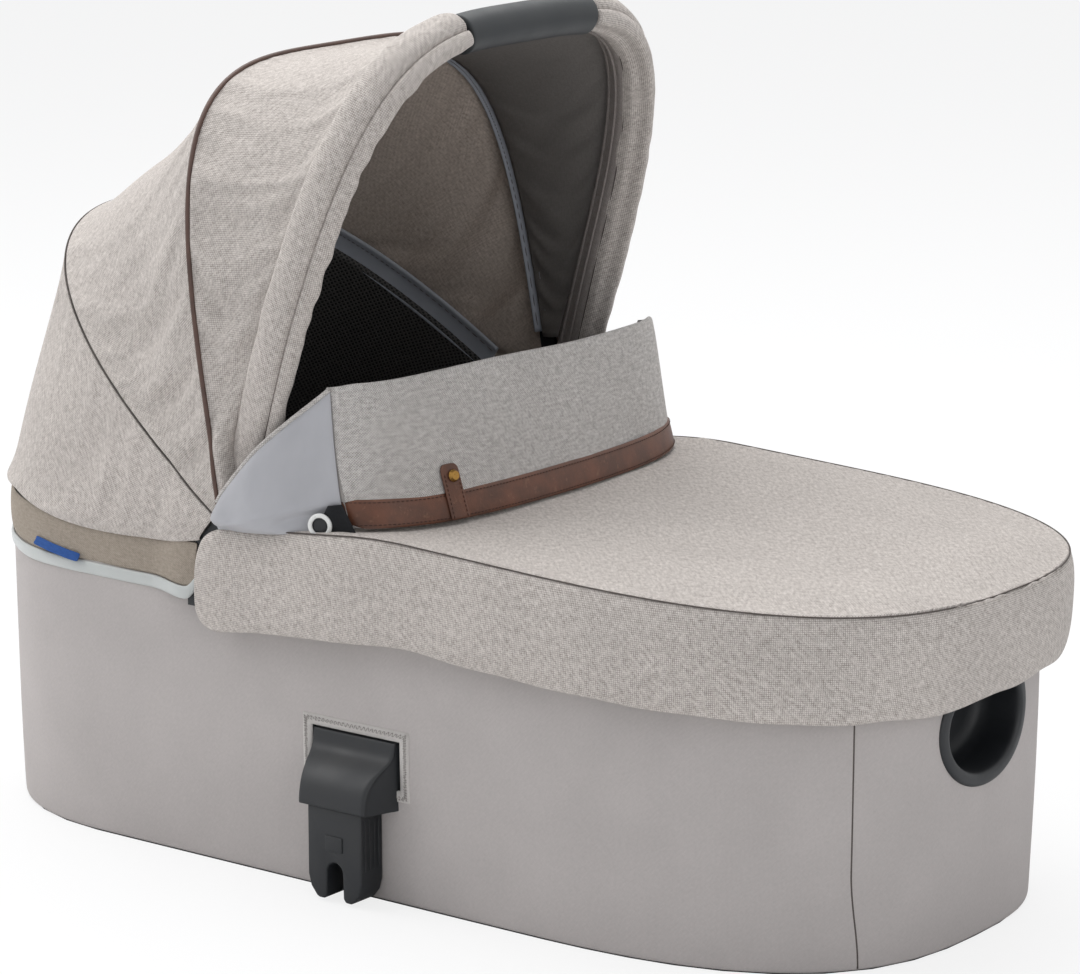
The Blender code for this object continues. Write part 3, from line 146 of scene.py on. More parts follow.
def rounded(share: Array) -> Array:
    """Turn shares from 0 to 1 into a quarter circle's heights."""
    return np.sqrt(np.clip(1 - (1 - np.clip(share, 0.0, 1.0)) ** 2, 0.0, 1.0))


@dataclass(frozen=True)
class Ripple:
    """A soft, repeatable unevenness through space, from a few long waves.

    Attributes:
        seed: Which pattern it is.
        size: The usual distance from one swell to the next, in metres.
        stretch: How much longer the swells are along each axis.
        waves: How many waves are added up.
    """

    seed: int
    size: float
    stretch: tuple[float, float, float] = (1.0, 1.0, 1.0)
    waves: int = 14

    def at(self, points: Array) -> Array:
        """Give the height, mostly from -1 to 1, at each point of an array."""
        dice = np.random.default_rng(self.seed)
        total = np.zeros(points.shape[:-1])
        for _ in range(self.waves):
            heading = unit(dice.normal(size=3)) / np.array(self.stretch)
            pitch = self.size * dice.uniform(0.7, 1.5)
            total += np.cos(points @ heading * (2 * math.pi / pitch) + dice.uniform(0, 2 * math.pi))
        return total / math.sqrt(self.waves)


def measured(grid: Array) -> Array:
    """Lay a grid of points out flat by its mean spacing, for the weave.

    Args:
        grid: Rows by columns by three.

    Returns:
        Rows by columns by two, in metres on the flat cloth.
    """
    across = np.linalg.norm(np.diff(grid, axis=1), axis=2).mean(axis=0)
    along = np.linalg.norm(np.diff(grid, axis=0), axis=2).mean(axis=1)
    return np.stack(np.meshgrid(summed(across), summed(along)), axis=2)


def fanned(grid: Array) -> Array:
    """Lay a fan-shaped grid out flat: its rows run beside its middle row at their real distance."""
    rows = len(grid)
    middle = grid[rows // 2]
    u = summed(np.linalg.norm(np.diff(middle, axis=0), axis=1))
    gaps = np.linalg.norm(np.diff(grid, axis=0), axis=2)
    v = np.concatenate([np.zeros((1, grid.shape[1])), np.cumsum(gaps, axis=0)])
    v = v - v[rows // 2]
    return np.stack([np.broadcast_to(u, v.shape), v], axis=2)


def normals_of(grid: Array) -> Array:
    """Give the unit normal at each point of a grid, rows crossed with columns."""
    return unit(np.cross(np.gradient(grid, axis=1), np.gradient(grid, axis=0)))


def skin(
    name: str,
    grid: Array,
    finish: str,
    *,
    away_from: tuple[float, float, float] | None = None,
    thickness: float = 0.0,
    inner: str | None = None,
    weave: Array | None = None,
    capped: bool = False,
    keep: Array | None = None,
    smoother: int = 0,
) -> Object:
    """Make a skin from a grid of points. A grid that closes on itself repeats its first row or column.

    Args:
        name: The piece's name.
        grid: Rows by columns by three, in metres.
        finish: The name of its outer side's material.
        away_from: A point behind the skin. The outer side faces away from it.
        thickness: How far the cloth goes back from the outer side, or 0 for a closed form.
        inner: The name of its other side's material, where that differs.
        weave: Each point's place on the flat cloth. It is measured from the grid if left out.
        capped: Whether open ends are filled.
        keep: Which of the grid's faces are made, as rows - 1 by columns - 1 booleans.
        smoother: How many times the faces are subdivided.

    Returns:
        The new object.
    """
    rows, columns = grid.shape[:2]
    flat = measured(grid) if weave is None else weave
    bm = bmesh.new()
    verts = [[bm.verts.new(point) for point in row] for row in grid]
    layer = bm.loops.layers.uv.new(WEAVE_MAP)
    for row in range(rows - 1):
        for column in range(columns - 1):
            if keep is not None and not keep[row, column]:
                continue
            places = ((row, column), (row, column + 1), (row + 1, column + 1), (row + 1, column))
            face = bm.faces.new([verts[r][c] for r, c in places])
            face.smooth = True
            for loop, (r, c) in zip(face.loops, places):
                loop[layer].uv = flat[r, c]
    bmesh.ops.remove_doubles(bm, verts=bm.verts, dist=MM / 50)
    bmesh.ops.dissolve_degenerate(bm, edges=bm.edges, dist=MM / 100)
    loose = [vert for vert in bm.verts if not vert.link_faces]
    bmesh.ops.delete(bm, geom=loose, context="VERTS")
    if capped:
        cap_ends(bm)
    bmesh.ops.recalc_face_normals(bm, faces=bm.faces)
    if away_from is not None:
        behind = Vector(away_from)
        lean = sum(face.normal.dot(face.calc_center_median() - behind) * face.calc_area() for face in bm.faces)
        if lean < 0:
            bmesh.ops.reverse_faces(bm, faces=bm.faces)
    obj = linked(name, bm, finish)
    if thickness:
        obj.data.materials.append(WARDROBE[inner or finish])
        solid = obj.modifiers.new("thickness", "SOLIDIFY")
        solid.thickness = thickness
        solid.offset = -1.0
        solid.material_offset = 1
    if smoother:
        divide = obj.modifiers.new("smoother", "SUBSURF")
        divide.levels = smoother
        divide.render_levels = smoother
    return applied(obj)


def added(name: str, data: bpy.types.ID) -> Object:
    """Put data in the scene as an object.

    Args:
        name: The object's name.
        data: Its mesh, lamp or camera.

    Returns:
        The new object.
    """
    obj = bpy.data.objects.new(name, data)
    bpy.context.scene.collection.objects.link(obj)
    return obj


def linked(name: str, bm: bmesh.types.BMesh, finish: str) -> Object:
    """Turn a finished mesh into an object of the scene.

    Args:
        name: Its name.
        bm: The mesh, which is used up.
        finish: The name of its material.

    Returns:
        The new object.
    """
    data = bpy.data.meshes.new(name)
    bm.to_mesh(data)
    bm.free()
    data.materials.append(WARDROBE[finish])
    return added(name, data)


def cap_ends(bm: bmesh.types.BMesh) -> None:
    """Close each open loop of a mesh with one face."""
    left = dict.fromkeys(edge for edge in bm.edges if edge.is_boundary)
    while left:
        edge = next(iter(left))
        del left[edge]
        first, vert = edge.verts
        loop = [first]
        while vert is not first:
            loop.append(vert)
            edge = next(other for other in vert.link_edges if other in left)
            del left[edge]
            vert = edge.other_vert(vert)
        bm.faces.new(loop)


def applied(obj: Object) -> Object:
    """Turn an object's modifiers into mesh, so that what shows is what rides or bends."""
    if obj.modifiers:
        bpy.context.view_layer.update()
        graph = bpy.context.evaluated_depsgraph_get()
        data = bpy.data.meshes.new_from_object(obj.evaluated_get(graph))
        data.name = obj.name
        obj.modifiers.clear()
        obj.data = data
    return obj


def tube(
    name: str,
    path: Array,
    radius: float,
    finish: str,
    sides: int = 8,
    closed: bool = False,
    sink: float = 0.0,
    toward: Array | None = None,
) -> Object:
    """Make a round tube, such as a piping or a thread, along a path.

    Args:
        name: The piece's name.
        path: Its centre line, one row for each point.
        radius: Its radius.
        finish: Its material's name.
        sides: How many sides its section has.
        closed: Whether the path joins its own start.
        sink: How far it is moved along toward.
        toward: A direction for each point, used with sink.

    Returns:
        The new object.
    """
    line = np.asarray(path, float)
    if toward is not None:
        line = line + np.asarray(toward) * sink
    ahead = unit(np.roll(line, -1, 0) - np.roll(line, 1, 0) if closed else np.gradient(line, axis=0))
    side = unit(np.cross(ahead, [0.0, 0.0, 1.0]) + np.array([1e-6, 0.0, 0.0]))
    up = np.cross(side, ahead)
    angles = np.linspace(0.0, 2 * math.pi, sides + 1)
    grid = np.stack([line + (side * math.cos(angle) + up * math.sin(angle)) * radius for angle in angles])
    if closed:
        grid = np.concatenate([grid, grid[:, :1]], axis=1)
    return skin(name, grid, finish, capped=not closed)


def stitches(
    name: str,
    path: Array,
    outward: Array,
    finish: str,
    pitch: float = 4.2 * MM,
    share: float = 0.68,
    radius: float = 0.38 * MM,
) -> Object:
    """Make a row of lockstitches along a path.

    Args:
        name: The piece's name.
        path: The seam's line, one row for each point.
        outward: The cloth's direction out at each point.
        finish: The name of the thread's material.
        pitch: From one stitch to the next.
        share: How much of the pitch shows as thread.
        radius: The thread's radius.

    Returns:
        One object with every stitch of the row.
    """
    length = float(np.linalg.norm(np.diff(path, axis=0), axis=1).sum())
    count = max(int(length / pitch), 2)
    line = spaced(np.concatenate([path, outward], axis=1), count * 4 + 1)
    bm = bmesh.new()
    for index in range(count):
        start = line[index * 4, :3]
        stop = line[index * 4 + 4, :3]
        out = unit(line[index * 4 + 2, 3:])
        ahead = (stop - start) * share
        side = unit(np.cross(unit(ahead), out))
        loops = []
        for along, size, lift in STITCH_RINGS:
            centre = start + ahead * along + out * lift * radius
            turn = [
                centre + (side * math.cos(a) + out * math.sin(a)) * radius * size
                for a in np.linspace(0, 2 * math.pi, STITCH_SIDES + 1)[:-1]
            ]
            loops.append([bm.verts.new(point) for point in turn])
        for low, high in zip(loops, loops[1:]):
            for a in range(STITCH_SIDES):
                b = (a + 1) % STITCH_SIDES
                bm.faces.new((low[a], low[b], high[b], high[a])).smooth = True
        bm.faces.new(loops[0][::-1])
        bm.faces.new(loops[-1])
    bmesh.ops.recalc_face_normals(bm, faces=bm.faces)
    return linked(name, bm, finish)


def prism(
    name: str,
    outline: list[tuple[float, float]],
    near: float,
    far: float,
    bevel: float,
    finish: str,
) -> Object:
    """Make a plate with bevelled edges from an outline in XZ.

    Args:
        name: The piece's name.
        outline: Its (x, z) points in order.
        near: The y of one face.
        far: The y of the other face.
        bevel: The width of its rounded edges.
        finish: Its material's name.

    Returns:
        The new object.
    """
    bm = bmesh.new()
    first = [bm.verts.new((x, near, z)) for x, z in outline]
    second = [bm.verts.new((x, far, z)) for x, z in outline]
    bm.faces.new(first)
    bm.faces.new(second[::-1])
    for index in range(len(outline)):
        after = (index + 1) % len(outline)
        bm.faces.new((first[index], second[index], second[after], first[after]))
    bmesh.ops.recalc_face_normals(bm, faces=bm.faces)
    obj = linked(name, bm, finish)
    soften = obj.modifiers.new("bevel", "BEVEL")
    soften.width = bevel
    soften.segments = 3
    soften.limit_method = "ANGLE"
    soften.angle_limit = math.radians(40.0)
    made = applied(obj)
    made.data.shade_smooth()
    made.data.set_sharp_from_angle(angle=math.radians(50.0))
    return made


@dataclass(frozen=True)
class Settle:
    """How a cloth is let down on its seams by simulation.

    Attributes:
        frames: How long it moves.
        slack: How much larger the cloth is cut than its place.
        bending: How hard it is to bend.
        gravity: The share of real gravity.
        cap: How far a point may move, in metres.
    """

    frames: int = 18
    slack: float = 0.02
    bending: float = 1.0
    gravity: float = 1.0
    cap: float = 6 * MM

    def let_down(self, grid: Array, held: Array) -> Array:
        """Simulate the cloth.

        Args:
            grid: Rows by columns by three: the cloth before it settles.
            held: Rows by columns: 1 where a seam holds it and 0 where it is free.
        """
        rows, columns = grid.shape[:2]
        index = np.arange(rows * columns).reshape(rows, columns)
        quads = np.stack([index[:-1, :-1], index[:-1, 1:], index[1:, 1:], index[1:, :-1]], axis=2)
        data = bpy.data.meshes.new("settling")
        data.from_pydata(grid.reshape(-1, 3).tolist(), [], quads.reshape(-1, 4).tolist())
        obj = added("settling", data)
        pins = obj.vertex_groups.new(name="held")
        for vert, weight in enumerate(held.ravel()):
            if weight > 0:
                pins.add([vert], float(weight), "REPLACE")
        cloth = obj.modifiers.new("cloth", "CLOTH")
        spec = cloth.settings
        spec.quality = 6
        spec.mass = 0.2
        spec.tension_stiffness = 25.0
        spec.compression_stiffness = 25.0
        spec.shear_stiffness = 8.0
        spec.bending_stiffness = self.bending
        spec.air_damping = 2.0
        spec.vertex_group_mass = "held"
        spec.shrink_min = -self.slack
        spec.effector_weights.gravity = self.gravity
        cloth.collision_settings.use_collision = False
        cloth.point_cache.frame_end = self.frames
        scene = bpy.context.scene
        for step in range(1, self.frames + 1):
            scene.frame_set(step)
        moved = obj.evaluated_get(bpy.context.evaluated_depsgraph_get()).to_mesh()
        after = np.zeros(rows * columns * 3)
        moved.vertices.foreach_get("co", after)
        scene.frame_set(1)
        bpy.data.objects.remove(obj, do_unlink=True)
        shift = after.reshape(grid.shape) - grid
        far = np.linalg.norm(shift, axis=2, keepdims=True)
        return grid + shift / np.maximum(far, TINY) * self.cap * np.tanh(far / self.cap)


# Finishes


def linear(code: str) -> tuple[float, float, float, float]:
    """Turn an sRGB hex colour into the linear one that a shader takes."""
    shares = [int(code[at:at + 2], 16) / 255 for at in (1, 3, 5)]
    red, green, blue = (
        share / 12.92 if share <= 0.04045 else ((share + 0.055) / 1.055) ** 2.4 for share in shares
    )
    return red, green, blue, 1.0


def add_node(tree: NodeTree, kind: str, inputs: dict | None = None, **settings: object) -> Node:
    """Add a shader node.

    Args:
        tree: The tree that it joins.
        kind: Its type, without the ShaderNode in front.
        inputs: By name or place, a constant for each input or the socket that feeds it.
        **settings: Attributes to set.

    Returns:
        The new node.
    """
    node = tree.nodes.new("ShaderNode" + kind)
    for key, value in settings.items():
        setattr(node, key, value)
    for key, value in (inputs or {}).items():
        if isinstance(value, NodeSocket):
            tree.links.new(value, node.inputs[key])
        else:
            node.inputs[key].default_value = value
    return node


def flat_place(tree: NodeTree) -> NodeSocket:
    """Give the place on the flat cloth."""
    return add_node(tree, "UVMap", uv_map=WEAVE_MAP).outputs[0]


def noise(tree: NodeTree, place: NodeSocket, scale: float, **extra: float) -> NodeSocket:
    """Give a cloudy value at each place. Extra inputs are named in lower case."""
    inputs = {"Vector": place, "Scale": scale} | {key.title(): value for key, value in extra.items()}
    return add_node(tree, "TexNoise", inputs).outputs["Fac"]


def worked(tree: NodeTree, operation: str, *sides: object) -> NodeSocket:
    """Work out one value from others."""
    return add_node(tree, "Math", dict(enumerate(sides)), operation=operation).outputs[0]


def spread(
    tree: NodeTree, value: NodeSocket, low: float, high: float, first: float = 0.0,
    last: float = 1.0, **settings: str,
) -> NodeSocket:
    """Map a value from one range to another.

    Args:
        tree: The tree to add to.
        value: The value to map.
        low: The start of its range.
        high: The end of its range.
        first: What the start becomes.
        last: What the end becomes.
        **settings: The node's own settings.

    Returns:
        The mapped value.
    """
    inputs = {"Value": value, "From Min": low, "From Max": high, "To Min": first, "To Max": last}
    return add_node(tree, "MapRange", inputs, **settings).outputs[0]


def dyed(
    tree: NodeTree, share: object, first: object, second: object, **settings: str,
) -> NodeSocket:
    """Mix two colours.

    Args:
        tree: The tree to add to.
        share: How much of the second is in the mix.
        first: A hex colour or a socket.
        second: The same for the other one.
        **settings: The node's own settings.

    Returns:
        The mixed colour.
    """
    first, second = (linear(side) if isinstance(side, str) else side for side in (first, second))
    return add_node(tree, "Mix", {0: share, 6: first, 7: second}, data_type="RGBA", **settings).outputs[2]


def bumped(
    tree: NodeTree, height: NodeSocket, strength: float, distance: float, **under: object,
) -> NodeSocket:
    """Turn heights into a surface's direction, over another one where that is given as Normal."""
    inputs = {"Height": height, "Strength": strength, "Distance": distance}
    return add_node(tree, "Bump", inputs | under).outputs[0]


@dataclass(frozen=True)
class Finish:
    """A surface. Each kind below draws its own pattern.

    Attributes:
        name: What the material is called.
        colour: Its main colour as sRGB hex.
        roughness: Its usual roughness.
        ior: Its index of refraction.
    """

    name: str
    colour: str
    roughness: float = 0.5
    ior: float = 1.5

    def make(self) -> Material:
        """Make the material: its constant values, and the pattern over them."""
        made = bpy.data.materials.new(self.name)
        made.use_nodes = True
        made.diffuse_color = linear(self.colour)
        tree = made.node_tree
        shader = tree.nodes["Principled BSDF"]
        shader.inputs["Base Color"].default_value = linear(self.colour)
        shader.inputs["Roughness"].default_value = self.roughness
        shader.inputs["IOR"].default_value = self.ior
        for name, source in self.draw(tree, shader).items():
            tree.links.new(source, shader.inputs[name])
        return made

    def draw(self, tree: NodeTree, shader: Node) -> dict[str, NodeSocket]:
        """Add the pattern's nodes, and give what feeds each input of the shader."""
        return {}


@dataclass(frozen=True)
class WovenCloth(Finish):
    """Cloth of crossed threads, with lighter and darker yarns through it.

    Attributes:
        light: The colour of the pale yarns.
        dark: The colour of the dark yarns.
        drawn: The spacing that is drawn, coarse enough for the weave to show in the picture.
        melange: How strongly single yarns differ.
        relief: The height of the weave, in metres.
        sheen: How much soft fuzz catches the light.
        weave: How the threads cross.
    """

    light: str = "#FFFFFF"
    dark: str = "#000000"
    drawn: float = 1.7 * MM
    melange: float = 0.5
    relief: float = 0.25 * MM
    sheen: float = 0.15
    weave: Weave = Weave.PLAIN
    roughness: float = 0.9

    def draw(self, tree: NodeTree, shader: Node) -> dict[str, NodeSocket]:
        """Draw the weave from each piece's flat layout, so that it follows the cut of the cloth."""
        shader.inputs["Specular IOR Level"].default_value = 0.3
        shader.inputs["Sheen Weight"].default_value = self.sheen
        shader.inputs["Sheen Roughness"].default_value = 0.45
        shader.inputs["Sheen Tint"].default_value = linear(self.light)
        place = flat_place(tree)
        turn = math.pi / 4 if self.weave is Weave.TWILL else 0.0
        laid = add_node(tree, "Mapping", {"Vector": place, "Rotation": (0.0, 0.0, turn)}).outputs[0]
        wave = {"Vector": laid, "Scale": WAVE_TURN / self.drawn}
        wave |= {"Distortion": 0.7, "Detail": 1.0, "Detail Scale": 2.5}
        bands = [add_node(tree, "TexWave", wave, bands_direction=way).outputs["Fac"] for way in ("X", "Y")]
        crossing = worked(tree, "ABSOLUTE", worked(tree, "SUBTRACT", *bands))
        yarns = []
        for long_x, long_y in ((3.0, 1.0), (1.0, 3.0)):
            size = (1 / (self.drawn * long_x), 1 / (self.drawn * long_y), 1.0)
            stretched = add_node(tree, "Mapping", {"Vector": laid, "Scale": size}).outputs[0]
            yarns.append(noise(tree, stretched, 0.9, detail=2.0, roughness=0.6))
        mixed = add_node(tree, "Mix", {0: crossing, 2: yarns[0], 3: yarns[1]}, data_type="FLOAT").outputs[0]
        speckled = worked(tree, "MULTIPLY_ADD", crossing, 0.40, mixed)
        contrast = spread(tree, speckled, 0.66 - 0.2 / self.melange, 0.66 + 0.2 / self.melange)
        shade = dyed(tree, contrast, self.dark, self.light)
        faded = spread(tree, noise(tree, place, 14.0, detail=3.0), 0.3, 0.7, 0.955, 1.03)
        height = worked(tree, "MULTIPLY_ADD", mixed, 0.55, crossing)
        return {
            "Base Color": dyed(tree, 1.0, shade, faded, blend_type="MULTIPLY"),
            "Normal": bumped(tree, height, 0.7, self.relief),
        }


@dataclass(frozen=True)
class FilamentSatin(Finish):
    """Smooth polyamide lining cloth. Its flat filaments give a soft sheen, and its colour is painted paler on
    the swells of its puckers: a painted sheen.
    """

    # light: the paler colour of the puckers' swells, a painted sheen
    light: str = "#FFFFFF"
    drawn: float = 1.2 * MM
    pucker: float = 22 * MM
    roughness: float = 0.42

    def draw(self, tree: NodeTree, shader: Node) -> dict[str, NodeSocket]:
        """Draw fine ribs and shallow puckers, and paint the puckers' swells paler: a painted sheen."""
        shader.inputs["Sheen Weight"].default_value = 0.25
        shader.inputs["Sheen Roughness"].default_value = 0.3
        place = flat_place(tree)
        wave = {"Vector": place, "Scale": WAVE_TURN / self.drawn, "Distortion": 0.8}
        ribs = add_node(tree, "TexWave", wave, bands_direction="DIAGONAL").outputs["Fac"]
        soft = noise(tree, place, 1 / self.pucker, detail=2.0)
        fine = bumped(tree, ribs, 0.25, 0.05 * MM)
        return {
            # paler where the puckers swell: painted sheen
            "Base Color": dyed(tree, soft, self.colour, self.light),
            "Normal": bumped(tree, soft, 0.5, 1.5 * MM, Normal=fine),
        }


@dataclass(frozen=True)
class AirMesh(Finish):
    """Knitted net. Its round holes are painted near black, darker than the threads between them: painted shade
    seen through them, as the sheet is not cut.
    """

    # the holes' near black is painted shade behind the net
    hole_shade: str = "#030303"
    pitch: float = 3.0 * MM
    roughness: float = 0.6

    def draw(self, tree: NodeTree, shader: Node) -> dict[str, NodeSocket]:
        """Draw the rows of holes, each row half a step on from the last, with the holes in painted shade."""
        size = (1 / self.pitch, 1 / self.pitch, 1.0)
        laid = add_node(
            tree, "Mapping", {"Vector": flat_place(tree), "Rotation": (0.0, 0.0, math.pi / 4), "Scale": size},
        ).outputs[0]
        cells = add_node(
            tree, "TexVoronoi", {"Vector": laid, "Scale": 1.0, "Randomness": 0.12}, voronoi_dimensions="2D",
        ).outputs["Distance"]
        edge = spread(tree, cells, 0.26, 0.42, interpolation_type="SMOOTHSTEP")
        return {
            "Base Color": dyed(tree, edge, self.hole_shade, self.colour),
            "Normal": bumped(tree, edge, 1.0, 0.6 * MM),
        }


@dataclass(frozen=True)
class Leather(Finish):
    """Smooth tanned leather. It has a fine pebble grain, and is paler where it has rubbed."""

    worn: str = "#A47A5C"
    deep: str = "#5A3526"
    grain: float = 1.5 * MM
    roughness: float = 0.5

    def draw(self, tree: NodeTree, shader: Node) -> dict[str, NodeSocket]:
        """Draw the grain, the cloudy dye and the rub marks."""
        place = add_node(tree, "TexCoord").outputs["Object"]
        cells = add_node(
            tree, "TexVoronoi", {"Vector": place, "Scale": 1 / self.grain}, feature="DISTANCE_TO_EDGE",
        ).outputs["Distance"]
        cloudy = spread(tree, noise(tree, place, 45.0, detail=4.0, roughness=0.6), 0.35, 0.72)
        rubbed = spread(tree, noise(tree, place, 130.0, detail=5.0, roughness=0.7), 0.58, 0.78, 0.0, 0.35)
        return {
            "Base Color": dyed(tree, rubbed, dyed(tree, cloudy, self.deep, self.colour), self.worn),
            "Normal": bumped(tree, cells, 0.5, 0.25 * MM),
        }


@dataclass(frozen=True)
class Moulded(Finish):
    """Moulded plastic or foam with the fine grain of its mould, a little uneven in gloss."""

    pale: str = "#4A4C50"
    grain: float = 0.6 * MM
    relief: float = 0.06 * MM
    fade: float = 0.35

    def draw(self, tree: NodeTree, shader: Node) -> dict[str, NodeSocket]:
        """Draw the mould grain, and the dusty paler patches of handling."""
        place = add_node(tree, "TexCoord").outputs["Object"]
        fine = noise(tree, place, 1 / self.grain, detail=2.0)
        broad = noise(tree, place, 30.0, detail=5.0, roughness=0.65)
        return {
            "Base Color": dyed(tree, spread(tree, broad, 0.4, 0.8, 0.0, self.fade), self.colour, self.pale),
            "Roughness": spread(tree, broad, 0.3, 0.7, self.roughness - 0.06, self.roughness + 0.08),
            "Normal": bumped(tree, fine, 0.6, self.relief),
        }


@dataclass(frozen=True)
class Metal(Finish):
    """Bare or plated metal, with the soft streaks of its finishing."""

    dull: str = "#6E6E70"
    streak: float = 2.0 * MM

    def draw(self, tree: NodeTree, shader: Node) -> dict[str, NodeSocket]:
        """Draw the streaks and the duller patches. A metal keeps the default index of refraction."""
        shader.inputs["Metallic"].default_value = 1.0
        place = add_node(tree, "TexCoord").outputs["Object"]
        marks = noise(tree, place, 1 / self.streak, detail=3.0)
        return {
            "Base Color": dyed(tree, marks, self.dull, self.colour),
            "Roughness": spread(tree, marks, 0.0, 1.0, self.roughness - 0.08, self.roughness + 0.12),
        }


WARDROBE: dict[str, Material] = {}
FINISHES = (
    # yarn-dyed polyester canvas: pale and grey-brown yarns side by side
    WovenCloth(
        "melange_canvas", "#C0B9B3", light="#DAD3CD", dark="#8F8781", melange=0.75, drawn=2.1 * MM,
        weave=Weave.TWILL,
    ),
    # the same canvas for the inner side of the hood panels, in a browner tone: painted shade of the hood's
    # inside
    WovenCloth("shaded_canvas_back", "#C2B4A8", light="#DBCEC3", dark="#988A7F", melange=0.7, drawn=1.6 * MM),
    # greyer canvas of the wind flap, with a bolder square weave
    WovenCloth(
        "flap_canvas", "#BEB9B6", light="#D6D2CE", dark="#948F8B", melange=0.9, drawn=2.0 * MM,
        relief=0.35 * MM,
    ),
    # yellower canvas of the band round the head end
    WovenCloth("band_canvas", "#A0958A", light="#AEA396", dark="#81776B", melange=0.6),
    # smooth polyester twill of the body: even, with a faint diagonal
    WovenCloth(
        "body_twill", "#BAB4B1", light="#C0BAB7", dark="#A9A3A1", melange=0.4, drawn=1.3 * MM, relief=0.12 * MM,
        weave=Weave.TWILL, sheen=0.1,
    ),
    # tape round the adapters' openings
    WovenCloth("window_tape", "#C9C5C1", light="#D0CCC8", dark="#B9B4B0", melange=0.4, drawn=1.5 * MM),
    # brushed polyester lining, dark and matt
    WovenCloth(
        "dark_lining", "#7E7A78", light="#8C8885", dark="#67635F", melange=0.4, drawn=1.3 * MM, relief=0.1 * MM,
        sheen=0.1,
    ),
    # facing tape inside the rim: its own taupe, made paler as painted light on the sleeves' shaded inner side
    WovenCloth("lightened_taupe_tape", "#938C88", light="#A39C98", dark="#7B7470", melange=0.6, drawn=1.5 * MM),
    # cotton jersey of the mattress
    WovenCloth("cotton_jersey", "#D8D5CF", light="#DEDBD6", dark="#CBC7C1", melange=0.3, drawn=1.6 * MM),
    # woven polyester ribbon and webbing
    WovenCloth("blue_ribbon", "#2D5496", light="#3A63A6", dark="#20407C", melange=0.5, drawn=1.4 * MM),
    WovenCloth("black_webbing", "#1C1D1F", light="#26272A", dark="#101113", melange=0.5, drawn=1.4 * MM),
    # polyamide satins of the gussets, the trim and the channels
    FilamentSatin("grey_satin", "#A3A3A7", light="#B0B0B4"),
    FilamentSatin("pale_satin", "#B2B5B3", light="#BCBFBD"),
    FilamentSatin("slate_satin", "#A3A8B2", light="#B6BBC4"),
    # warp-knitted polyester net
    AirMesh("air_mesh", "#4A4947"),
    # vegetable-tanned cowhide
    Leather("saddle_leather", "#693F2B", deep="#4E2F20"),
    # waxed polyester piping
    Leather("brown_piping", "#5B4238", worn="#75584B", deep="#46322B", grain=0.9 * MM),
    # glass-filled nylon: matt black with a fine spark-eroded grain
    Moulded("black_nylon", "#0F1216", roughness=0.52, ior=1.53, pale="#1A1E24"),
    # grey polypropylene sheet of the wall
    Moulded("grey_polypropylene", "#5C5C5C", roughness=0.6, ior=1.49, pale="#6C6C6C"),
    # gloss acetal of the ring snaps
    Moulded("white_acetal", "#E6E6E3", roughness=0.3, ior=1.48, pale="#D4D4D0", relief=0.02 * MM),
    # polyurethane foam skin of the grip, with a fine leather print
    Moulded("grip_foam", "#2A2D2F", roughness=0.55, ior=1.5, pale="#36393D", grain=0.9 * MM, relief=0.09 * MM),
    # spun polyester sewing threads
    # dark_thread_and_groove_shade also colours the cords laid in seam grooves: painted shade
    Moulded("dark_thread_and_groove_shade", "#4E4743", roughness=0.8, pale="#5D5651"),
    Moulded("brown_thread", "#3E261D", roughness=0.8, pale="#4E3327"),
    Moulded("pale_thread", "#8F8A86", roughness=0.8, pale="#A09B97"),
    # aluminium tube, satin anodised
    Metal("anodised_aluminium", "#C9C9CB", roughness=0.35),
    # bright zinc plate
    Metal("zinc_steel", "#B9BBBE", roughness=0.3, dull="#8D8F93"),
    # brass left to age
    Metal("aged_brass", "#B58D4E", roughness=0.3, dull="#7A5A2C", streak=1.0 * MM),
    # matt emulsion paint of the studio's floor
    Finish("floor_paint", "#F2F2F2", roughness=0.9),
)


# Shared shapes


